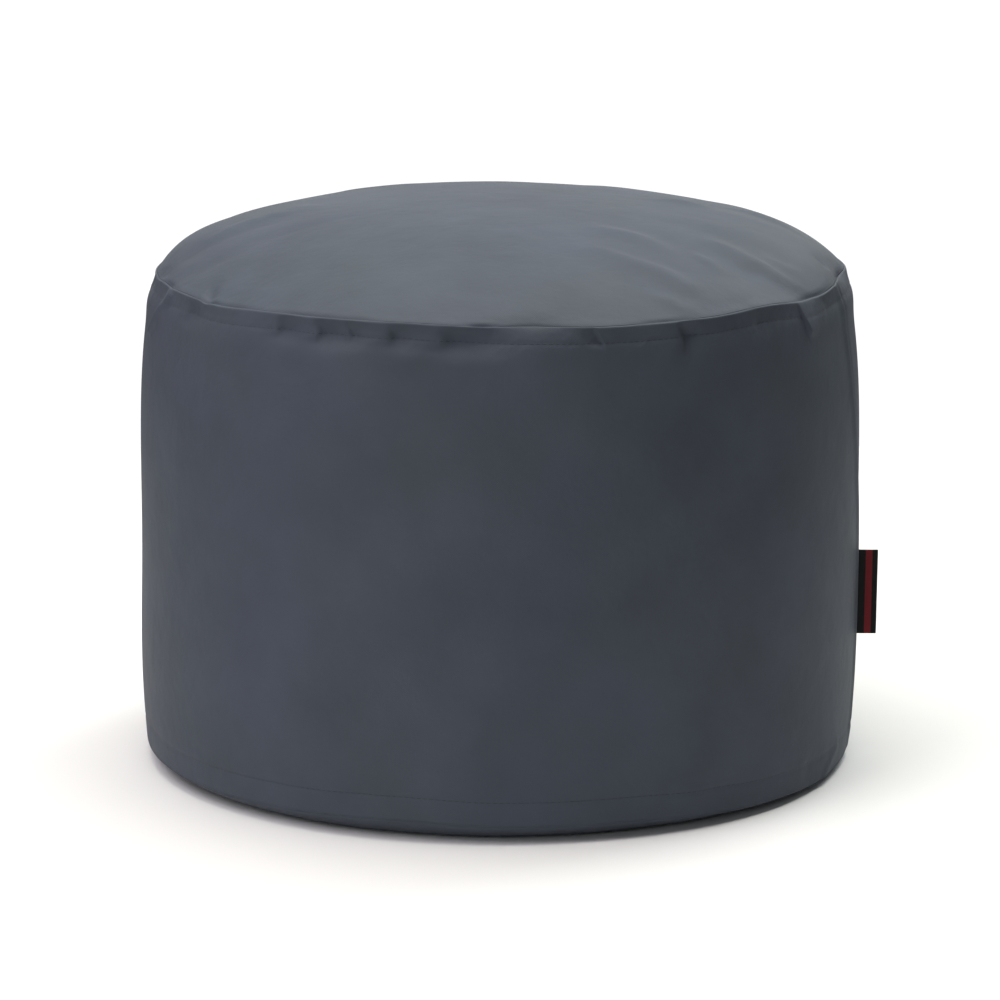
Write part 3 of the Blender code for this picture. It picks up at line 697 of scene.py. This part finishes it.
def newMaterial(name, colour, roughness, sheen=0.0, sheenRoughness=0.4, specular=0.5):
    material = bpy.data.materials.new(name)
    material.use_nodes = True
    shader = material.node_tree.nodes["Principled BSDF"]
    shader.inputs["Base Color"].default_value = (*colour, 1.0)
    shader.inputs["Roughness"].default_value = roughness
    shader.inputs["Metallic"].default_value = 0.0
    shader.inputs["Specular IOR Level"].default_value = specular
    shader.inputs["Sheen Weight"].default_value = sheen
    shader.inputs["Sheen Roughness"].default_value = sheenRoughness
    return material, shader


def addNode(material, kind, place, **settings):
    node = material.node_tree.nodes.new(kind)
    node.location = place
    for name, value in settings.items():
        setattr(node, name, value)
    return node


def joinNodes(material, *pairs):
    for start, end in pairs:
        material.node_tree.links.new(start, end)


cloth = {
    "colour": (0.0547, 0.0647, 0.0834),
    "greenerColour": (0.0556, 0.0680, 0.0800),
    "bluerColour": (0.0538, 0.0616, 0.0870),
    "roughness": 0.60,
    "specular": 0.12,
    "sheen": 0.02,
    "sheenRoughness": 0.45,
    "roughnessSpread": 0.06,
    "threadPitch": 0.00072,
    "hollowShade": 0.90,
    "crestShade": 1.08,
    "weaveDepth": 0.00006,
    "reliefStrength": 0.6,
    "mottleScale": 9.0,
    "slubScale": 620.0,
    "slubShare": 0.8,
    "cloudScale": 17.0,
    "cloudDepth": 0.09,
    "crinkleScale": 62.0,
    "crinkleDepth": 0.0014,
}


def waveAlong(material, coordinate, pitch, place):
    # One family of threads: a sine of the distance across them.
    scaled = addNode(material, "ShaderNodeMath", place, operation="MULTIPLY")
    scaled.inputs[1].default_value = math.pi / pitch
    wave = addNode(material, "ShaderNodeMath", (place[0] + 180, place[1]), operation="SINE")
    joinNodes(material, (coordinate, scaled.inputs[0]), (scaled.outputs[0], wave.inputs[0]))
    return wave.outputs[0]


def makeCloth():
    material, shader = newMaterial(
        "coatedCloth", cloth["colour"], cloth["roughness"], cloth["sheen"],
        cloth["sheenRoughness"], cloth["specular"],
    )
    uv = addNode(material, "ShaderNodeUVMap", (-1500, 0), uv_map="cloth")
    split = addNode(material, "ShaderNodeSeparateXYZ", (-1320, 0))
    joinNodes(material, (uv.outputs["UV"], split.inputs[0]))
    warp = waveAlong(material, split.outputs["X"], cloth["threadPitch"], (-1120, 120))
    weft = waveAlong(material, split.outputs["Y"], cloth["threadPitch"], (-1120, -120))
    weave = addNode(material, "ShaderNodeMath", (-740, 0), operation="MULTIPLY")
    joinNodes(material, (warp, weave.inputs[0]), (weft, weave.inputs[1]))

    place = addNode(material, "ShaderNodeTexCoord", (-1500, -420))
    mottle = addNode(material, "ShaderNodeTexNoise", (-1120, -420))
    mottle.inputs["Scale"].default_value = cloth["mottleScale"]
    mottle.inputs["Detail"].default_value = 3.0
    slub = addNode(material, "ShaderNodeTexNoise", (-1120, -700))
    slub.inputs["Scale"].default_value = cloth["slubScale"]
    slub.inputs["Detail"].default_value = 2.0
    tint = addNode(material, "ShaderNodeMix", (-500, -380), data_type="RGBA")
    tint.inputs["A"].default_value = (*cloth["greenerColour"], 1.0)
    tint.inputs["B"].default_value = (*cloth["bluerColour"], 1.0)
    joinNodes(
        material, (place.outputs["Object"], mottle.inputs["Vector"]),
        (place.outputs["Object"], slub.inputs["Vector"]), (mottle.outputs["Fac"], tint.inputs["Factor"]),
    )

    # Painted shade and light: the hollows between the threads are painted a little darker and their crests a
    # little lighter, as the weave's relief would light them. This is then multiplied by random clouds of
    # tone.
    shade = addNode(material, "ShaderNodeMapRange", (-500, 60))
    shade.inputs["From Min"].default_value = -1.0
    shade.inputs["To Min"].default_value = cloth["hollowShade"]
    shade.inputs["To Max"].default_value = cloth["crestShade"]
    clouds = addNode(material, "ShaderNodeTexNoise", (-1120, 420))
    clouds.inputs["Scale"].default_value = cloth["cloudScale"]
    clouds.inputs["Detail"].default_value = 3.0
    uneven = addNode(material, "ShaderNodeMapRange", (-740, 420))
    uneven.inputs["From Min"].default_value = 0.3
    uneven.inputs["From Max"].default_value = 0.7
    uneven.inputs["To Min"].default_value = 1.0 - cloth["cloudDepth"]
    uneven.inputs["To Max"].default_value = 1.0 + cloth["cloudDepth"]
    cloudsAndWeaveShade = addNode(material, "ShaderNodeMath", (-380, 240), operation="MULTIPLY")
    shaded = addNode(material, "ShaderNodeMix", (-260, -160), data_type="RGBA", blend_type="MULTIPLY")
    shaded.inputs["Factor"].default_value = 1.0
    joinNodes(
        material, (weave.outputs[0], shade.inputs["Value"]),
        (place.outputs["Object"], clouds.inputs["Vector"]),
        (clouds.outputs["Fac"], uneven.inputs["Value"]), (shade.outputs["Result"], cloudsAndWeaveShade.inputs[0]),
        (uneven.outputs["Result"], cloudsAndWeaveShade.inputs[1]), (tint.outputs["Result"], shaded.inputs["A"]),
        (cloudsAndWeaveShade.outputs[0], shaded.inputs["B"]), (shaded.outputs["Result"], shader.inputs["Base Color"]),
    )

    height = addNode(material, "ShaderNodeMath", (-500, -640), operation="MULTIPLY_ADD")
    height.inputs[1].default_value = cloth["slubShare"]
    relief = addNode(material, "ShaderNodeBump", (-260, -560))
    relief.inputs["Strength"].default_value = cloth["reliefStrength"]
    relief.inputs["Distance"].default_value = cloth["weaveDepth"]
    crinkles = addNode(material, "ShaderNodeTexNoise", (-1120, -980))
    crinkles.inputs["Scale"].default_value = cloth["crinkleScale"]
    crinkles.inputs["Detail"].default_value = 4.0
    crinkled = addNode(material, "ShaderNodeBump", (-500, -980))
    crinkled.inputs["Strength"].default_value = cloth["reliefStrength"]
    crinkled.inputs["Distance"].default_value = cloth["crinkleDepth"]
    joinNodes(
        material, (slub.outputs["Fac"], height.inputs[0]), (weave.outputs[0], height.inputs[2]),
        (height.outputs[0], relief.inputs["Height"]), (relief.outputs["Normal"], shader.inputs["Normal"]),
        (place.outputs["Object"], crinkles.inputs["Vector"]),
        (crinkles.outputs["Fac"], crinkled.inputs["Height"]),
        (crinkled.outputs["Normal"], relief.inputs["Normal"]),
    )
    rough = addNode(material, "ShaderNodeMapRange", (-260, -900))
    rough.inputs["To Min"].default_value = cloth["roughness"] - cloth["roughnessSpread"]
    rough.inputs["To Max"].default_value = cloth["roughness"] + cloth["roughnessSpread"]
    joinNodes(
        material, (mottle.outputs["Fac"], rough.inputs["Value"]),
        (rough.outputs["Result"], shader.inputs["Roughness"]),
    )
    return material


thread = {
    # The thread is painted much darker than the cloth: partly its own dark blue-grey and partly painted shade
    # of the groove that it sits in.
    "colour": (0.007, 0.011, 0.019),
    "roughness": 0.7,
    "pitch": 0.0042,
    "length": 0.0034,
    "radius": 0.00024,
    "lift": -0.00006,
    "unevenness": 0.08,
    "seed": 7,
    "twistScale": 2600.0,
    "twistDepth": 0.00005,
}


def makeThreadMaterial():
    material, shader = newMaterial("sewingThread", thread["colour"], thread["roughness"], 0.2)
    place = addNode(material, "ShaderNodeTexCoord", (-700, 0))
    twist = addNode(material, "ShaderNodeTexNoise", (-500, 0))
    twist.inputs["Scale"].default_value = thread["twistScale"]
    relief = addNode(material, "ShaderNodeBump", (-260, -120))
    relief.inputs["Distance"].default_value = thread["twistDepth"]
    joinNodes(
        material, (place.outputs["Object"], twist.inputs["Vector"]),
        (twist.outputs["Fac"], relief.inputs["Height"]),
        (relief.outputs["Normal"], shader.inputs["Normal"]),
    )
    return material


label = {
    "middleHeight": 0.118,
    "height": 0.060,
    "width": 0.0150,
    "ply": 0.0007,
    "plySpacing": 0.0011,
    "seat": 0.0006,
    "curl": 0.0012,
    "columns": 44,
    "rows": 72,
    "flatColumns": 16,
    "flatWidth": 0.0310,
    "colour": (0.0028, 0.0028, 0.0032),
    "stripeColour": (0.190, 0.010, 0.016),
    "stripeFrom": 0.0066,
    "stripeTo": 0.0112,
    "ribPitch": 0.0008,
    "ribDepth": 0.00012,
    "ribStrength": 0.8,
    "stripeHollow": 0.55,
    "roughness": 0.62,
}


def makeLabelMaterial():
    # A ribbed black tape with one plain woven stripe, placed by the tape's own UV map.
    material, shader = newMaterial("wovenTape", label["colour"], label["roughness"], 0.04, specular=0.2)
    uv = addNode(material, "ShaderNodeUVMap", (-1300, 0), uv_map="cloth")
    split = addNode(material, "ShaderNodeSeparateXYZ", (-1120, 0))
    ribs = waveAlong(material, split.outputs["Y"], label["ribPitch"], (-900, -220))
    ends = waveAlong(material, split.outputs["X"], label["ribPitch"] * 0.6, (-900, -420))
    woven = addNode(material, "ShaderNodeMath", (-520, -300), operation="MULTIPLY")
    above = addNode(material, "ShaderNodeMath", (-900, 240), operation="GREATER_THAN")
    above.inputs[1].default_value = label["stripeFrom"]
    below = addNode(material, "ShaderNodeMath", (-900, 60), operation="LESS_THAN")
    below.inputs[1].default_value = label["stripeTo"]
    stripe = addNode(material, "ShaderNodeMath", (-700, 160), operation="MULTIPLY")
    shown = addNode(material, "ShaderNodeMapRange", (-520, -60))
    shown.inputs["From Min"].default_value = -1.0
    shown.inputs["To Min"].default_value = label["stripeHollow"]
    amount = addNode(material, "ShaderNodeMath", (-340, 100), operation="MULTIPLY")
    paint = addNode(material, "ShaderNodeMix", (-180, 120), data_type="RGBA")
    paint.inputs["A"].default_value = (*label["colour"], 1.0)
    paint.inputs["B"].default_value = (*label["stripeColour"], 1.0)
    relief = addNode(material, "ShaderNodeBump", (-180, -300))
    relief.inputs["Distance"].default_value = label["ribDepth"]
    relief.inputs["Strength"].default_value = label["ribStrength"]
    joinNodes(
        material, (uv.outputs["UV"], split.inputs[0]), (split.outputs["X"], above.inputs[0]),
        (split.outputs["X"], below.inputs[0]), (above.outputs[0], stripe.inputs[0]),
        (below.outputs[0], stripe.inputs[1]), (ribs, woven.inputs[0]), (ends, woven.inputs[1]),
        (woven.outputs[0], shown.inputs["Value"]), (stripe.outputs[0], amount.inputs[0]),
        (shown.outputs["Result"], amount.inputs[1]), (amount.outputs[0], paint.inputs["Factor"]),
        (paint.outputs["Result"], shader.inputs["Base Color"]), (woven.outputs[0], relief.inputs["Height"]),
        (relief.outputs["Normal"], shader.inputs["Normal"]),
    )
    return material


def foldedTape():
    # Out along one ply, round the fold and back along the other, in rows up the tape.
    foldRadius = 0.5 * label["plySpacing"]
    straight = label["width"] - foldRadius - 0.5 * label["ply"]
    lastFlat = label["columns"] - label["flatColumns"]
    column = np.arange(label["columns"] + 1)
    flat = label["flatColumns"]
    turn = math.pi * ((column - flat) / (lastFlat - flat) - 0.5)
    out = np.where(column <= flat, straight * column / flat, straight + foldRadius * np.cos(turn))
    out = np.where(column >= lastFlat, straight * (label["columns"] - column) / flat, out)
    side = np.where(column <= flat, -foldRadius, foldRadius * np.sin(turn))
    side = np.where(column >= lastFlat, foldRadius, side)
    side = side + label["curl"] * (out / label["width"]) ** 2
    up = label["middleHeight"] + (np.arange(label["rows"] + 1) / label["rows"] - 0.5) * label["height"]
    return label["seat"] + out, side, up


def makeLabel(material):
    out, side, up = foldedTape()
    radius, height, angle = settle(wallRadius(up), up, np.zeros_like(up))
    radians = np.radians(angle)
    outward = np.stack((np.cos(radians), np.sin(radians), np.zeros_like(up)), axis=-1)
    sideways = np.stack((-np.sin(radians), np.cos(radians), np.zeros_like(up)), axis=-1)
    seat = outward * radius[:, None] + np.array((0.0, 0.0, 1.0)) * height[:, None]
    points = seat[:, None, :] + outward[:, None, :] * out[None, :, None]
    points = points + sideways[:, None, :] * side[None, :, None]
    count = len(out)
    rings = np.arange(points.shape[0] * count).reshape(-1, count)
    quads = np.stack((rings[:-1, :-1], rings[:-1, 1:], rings[1:, 1:], rings[1:, :-1]), axis=-1).reshape(-1, 4)
    mesh = bpy.data.meshes.new("sideLabel")
    mesh.from_pydata(points.reshape(-1, 3).tolist(), [], quads.tolist())
    run = np.concatenate(([0.0], np.cumsum(np.hypot(np.diff(out), np.diff(side)))))
    run = np.minimum(run, run[-1] - run)
    uvs = np.stack(np.broadcast_arrays(run[None, :], up[:, None]), axis=-1).reshape(-1, 2)
    layer = mesh.uv_layers.new(name="cloth")
    layer.data.foreach_set("uv", uvs[quads.ravel()].astype(np.float32).ravel())
    mesh.shade_smooth()
    piece = placePiece("sideLabel", mesh, material)
    ply = piece.modifiers.new("ply", "SOLIDIFY")
    ply.thickness = label["ply"]
    ply.offset = 0.0
    bakeModifiers(piece)
    return piece


def bakeModifiers(piece):
    graph = bpy.context.evaluated_depsgraph_get()
    finished = bpy.data.meshes.new_from_object(piece.evaluated_get(graph))
    drawn = piece.data
    piece.modifiers.clear()
    piece.data = finished
    finished.name = piece.name
    bpy.data.meshes.remove(drawn)


def stitchTree():
    tree = bpy.data.node_groups.new("stitchRow", "GeometryNodeTree")
    tree.is_modifier = True
    face = tree.interface
    face.new_socket("Seam", in_out="INPUT", socket_type="NodeSocketGeometry")
    for name in ("Stitch Pitch", "Stitch Length", "Thread Radius", "Unevenness"):
        face.new_socket(name, in_out="INPUT", socket_type="NodeSocketFloat")
    face.new_socket("Seed", in_out="INPUT", socket_type="NodeSocketInt")
    face.new_socket("Thread", in_out="INPUT", socket_type="NodeSocketMaterial")
    face.new_socket("Stitches", in_out="OUTPUT", socket_type="NodeSocketGeometry")

    def add(kind, x, y, **settings):
        node = tree.nodes.new(kind)
        node.location = (x, y)
        for name, value in settings.items():
            setattr(node, name, value)
        return node

    given = add("NodeGroupInput", -900, 0)
    curve = add("GeometryNodeMeshToCurve", -700, 100)
    spaced = add("GeometryNodeResampleCurve", -520, 100, mode="LENGTH")
    places = add("GeometryNodeCurveToPoints", -340, 100, mode="EVALUATED")
    bead = add("GeometryNodeMeshUVSphere", -700, -200)
    bead.inputs["Segments"].default_value = 6
    bead.inputs["Rings"].default_value = 6
    bead.inputs["Radius"].default_value = 1.0
    half = add("ShaderNodeMath", -700, -420, operation="MULTIPLY")
    half.inputs[1].default_value = 0.5
    size = add("ShaderNodeCombineXYZ", -520, -360)
    shaped = add("GeometryNodeTransform", -340, -200)
    least = add("ShaderNodeMath", -520, -560, operation="SUBTRACT")
    least.inputs[0].default_value = 1.0
    most = add("ShaderNodeMath", -520, -740, operation="ADD")
    most.inputs[0].default_value = 1.0
    uneven = add("FunctionNodeRandomValue", -340, -560, data_type="FLOAT")
    put = add("GeometryNodeInstanceOnPoints", -120, 60)
    real = add("GeometryNodeRealizeInstances", 60, 60)
    smooth = add("GeometryNodeSetShadeSmooth", 220, 60)
    finish = add("GeometryNodeSetMaterial", 380, 60)
    result = add("NodeGroupOutput", 560, 60)
    for start, end in (
        (given.outputs["Seam"], curve.inputs["Mesh"]),
        (curve.outputs["Curve"], spaced.inputs["Curve"]),
        (given.outputs["Stitch Pitch"], spaced.inputs["Length"]),
        (spaced.outputs["Curve"], places.inputs["Curve"]),
        (given.outputs["Stitch Length"], half.inputs[0]),
        (given.outputs["Thread Radius"], size.inputs["X"]),
        (given.outputs["Thread Radius"], size.inputs["Y"]),
        (half.outputs[0], size.inputs["Z"]),
        (bead.outputs["Mesh"], shaped.inputs["Geometry"]),
        (size.outputs[0], shaped.inputs["Scale"]),
        (given.outputs["Unevenness"], least.inputs[1]),
        (given.outputs["Unevenness"], most.inputs[1]),
        (least.outputs[0], uneven.inputs[2]),
        (most.outputs[0], uneven.inputs[3]),
        (given.outputs["Seed"], uneven.inputs["Seed"]),
        (places.outputs["Points"], put.inputs["Points"]),
        (shaped.outputs["Geometry"], put.inputs["Instance"]),
        (places.outputs["Rotation"], put.inputs["Rotation"]),
        (uneven.outputs[1], put.inputs["Scale"]),
        (put.outputs["Instances"], real.inputs["Geometry"]),
        (real.outputs["Geometry"], smooth.inputs["Geometry"]),
        (smooth.outputs["Geometry"], finish.inputs["Geometry"]),
        (given.outputs["Thread"], finish.inputs["Material"]),
        (finish.outputs["Geometry"], result.inputs["Stitches"]),
    ):
        tree.links.new(start, end)
    return tree


def sewRow(name, line, tree, material, closed=True):
    mesh = bpy.data.meshes.new(name)
    edges = [(i, i + 1) for i in range(len(line) - 1)]
    if closed:
        edges.append((len(line) - 1, 0))
    mesh.from_pydata(line.tolist(), edges, [])
    piece = placePiece(name, mesh, material)
    sewing = piece.modifiers.new("sewing", "NODES")
    sewing.node_group = tree
    values = {
        "Stitch Pitch": thread["pitch"], "Stitch Length": thread["length"],
        "Thread Radius": thread["radius"], "Unevenness": thread["unevenness"],
        "Seed": thread["seed"], "Thread": material,
    }
    for socket in tree.interface.items_tree:
        if socket.in_out == "INPUT" and socket.name in values:
            sewing[socket.identifier] = values[socket.name]
    bakeModifiers(piece)
    return piece


camera = {"place": (0.0, -3.0, 0.834), "pitch": 12.35, "lens": 157.9, "sensor": 36.0}

Lamp = namedtuple("Lamp", "name place width depth power colour")
lamps = (
    Lamp("overhead", (0.0, 0.0, 2.0), 1.6, 1.6, 28.0, (1.00, 0.99, 0.90)),
    Lamp("lowOverhead", (0.0, 0.1, 1.3), 1.3, 1.0, 9.0, (1.01, 0.99, 0.89)),
    Lamp("highFrontLeft", (-1.2, -1.2, 1.8), 1.2, 1.2, 20.0, (1.05, 0.98, 1.04)),
    Lamp("highLeft", (-1.3, 0.0, 1.8), 1.2, 1.2, 6.0, (1.02, 0.99, 1.02)),
    Lamp("left", (-2.2, -1.2, 0.85), 1.2, 1.2, 9.0, (1.05, 1.00, 1.05)),
    Lamp("front", (0.0, -2.7, 1.2), 1.2, 1.2, 8.0, (0.98, 1.03, 1.03)),
    Lamp("highBackRight", (1.2, 1.2, 1.8), 1.2, 1.2, 25.0, (0.96, 1.00, 1.02)),
    Lamp("backRight", (1.8, 1.2, 1.0), 1.2, 1.2, 2.0, (0.96, 1.00, 1.05)),
    Lamp("backWall", (0.0, 2.8, 0.9), 3.0, 1.6, 17.0, (1.00, 1.00, 0.98)),
)
studio = {
    "aim": (0.0, 0.0, 0.2),
    "worldLight": 0.02,
    "worldSeen": 1.05,
    "floorRadius": 1.1,
    "floorColour": (0.86, 0.86, 0.86),
    "floorDrop": 0.0002,
}


def makeCamera():
    view = bpy.data.cameras.new("camera")
    view.sensor_width = camera["sensor"]
    view.lens = camera["lens"]
    view.clip_start, view.clip_end = 0.05, 60.0
    stand = bpy.data.objects.new("camera", view)
    bpy.context.scene.collection.objects.link(stand)
    stand.location = camera["place"]
    stand.rotation_euler = (math.radians(90.0 - camera["pitch"]), 0.0, 0.0)
    bpy.context.scene.camera = stand


def makeLamps():
    for row in lamps:
        data = bpy.data.lights.new(row.name, "AREA")
        data.shape = "RECTANGLE"
        data.size, data.size_y = row.width, row.depth
        data.energy = row.power
        data.color = row.colour
        lamp = bpy.data.objects.new(row.name, data)
        bpy.context.scene.collection.objects.link(lamp)
        lamp.location = row.place
        aim = Vector(studio["aim"]) - Vector(row.place)
        lamp.rotation_euler = aim.to_track_quat("-Z", "Y").to_euler()
        lamp.visible_camera = False


def makeWorld():
    # The backdrop is seen plain white, and the light that it gives is much dimmer.
    world = bpy.data.worlds.new("studio")
    bpy.context.scene.world = world
    world.use_nodes = True
    nodes, links = world.node_tree.nodes, world.node_tree.links
    nodes.clear()
    out = nodes.new("ShaderNodeOutputWorld")
    seen = nodes.new("ShaderNodeBackground")
    seen.inputs["Color"].default_value = (1.0, 1.0, 1.0, 1.0)
    seen.inputs["Strength"].default_value = studio["worldSeen"]
    lit = nodes.new("ShaderNodeBackground")
    lit.inputs["Color"].default_value = (1.0, 1.0, 1.0, 1.0)
    lit.inputs["Strength"].default_value = studio["worldLight"]
    path = nodes.new("ShaderNodeLightPath")
    mix = nodes.new("ShaderNodeMixShader")
    links.new(path.outputs["Is Camera Ray"], mix.inputs[0])
    links.new(lit.outputs[0], mix.inputs[1])
    links.new(seen.outputs[0], mix.inputs[2])
    links.new(mix.outputs[0], out.inputs["Surface"])


def makeFloor():
    material, shader = newMaterial("paleFloor", studio["floorColour"], 0.9, specular=0.1)
    bpy.ops.mesh.primitive_circle_add(vertices=96, radius=studio["floorRadius"], fill_type="NGON")
    floor = bpy.context.active_object
    floor.name = "floor"
    floor.location = (0.0, 0.0, cadBox[0].z - studio["floorDrop"])
    floor.data.materials.append(material)


clothMaterial = makeCloth()
threadMaterial = makeThreadMaterial()
labelMaterial = makeLabelMaterial()

sideProfile, sidePoints, firstWall, heights = sideCloth()
around = np.arange(stool["columns"] + 1) / stool["columns"] * math.tau * stool["bellyRadius"]
sideMesh = turnedMesh("sideCover", sidePoints, around[None, :], runningLength(sideProfile)[:, None])
sideCover = placePiece("sideCover", sideMesh, clothMaterial)
print("side cover laid:", len(sideMesh.polygons), "faces")

topPoints = topCloth()
topMesh = turnedMesh("topCover", topPoints, *flatUv(topPoints))
topCover = placePiece("topCover", topMesh, clothMaterial)
print("top cover laid:", len(topMesh.polygons), "faces")

basePoints = baseCloth()
baseMesh = turnedMesh("baseCover", basePoints, *flatUv(basePoints))
baseMesh.flip_normals()
baseCover = placePiece("baseCover", baseMesh, clothMaterial)
print("base cover laid:", len(baseMesh.polygons), "faces")

sideLabel = makeLabel(labelMaterial)

tree = stitchTree()
stitchRows = []
for name, height in (
    ("topStitches", stool["topSeamHeight"] - channels["topDrop"]),
    ("baseStitches", stool["baseSeamHeight"] + channels["baseRise"]),
):
    row = firstWall + int(np.argmin(np.abs(heights - height)))
    line = sidePoints[row].copy()
    outward = line[:, :2] / np.hypot(line[:, 0], line[:, 1])[:, None]
    line[:, :2] += outward * thread["lift"]
    stitchRows.append(sewRow(name, line, tree, threadMaterial))
print("stitches sewn:", sum(len(row.data.polygons) for row in stitchRows), "faces")

for piece in (sideCover, topCover, baseCover, sideLabel, *stitchRows):
    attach(piece, "root")
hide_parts("side_panel")
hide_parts("top_panel")
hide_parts("base_panel")
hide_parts("label")

makeCamera()
makeLamps()
makeWorld()
makeFloor()
bpy.context.scene.view_settings.view_transform = "Standard"
print("studio set")
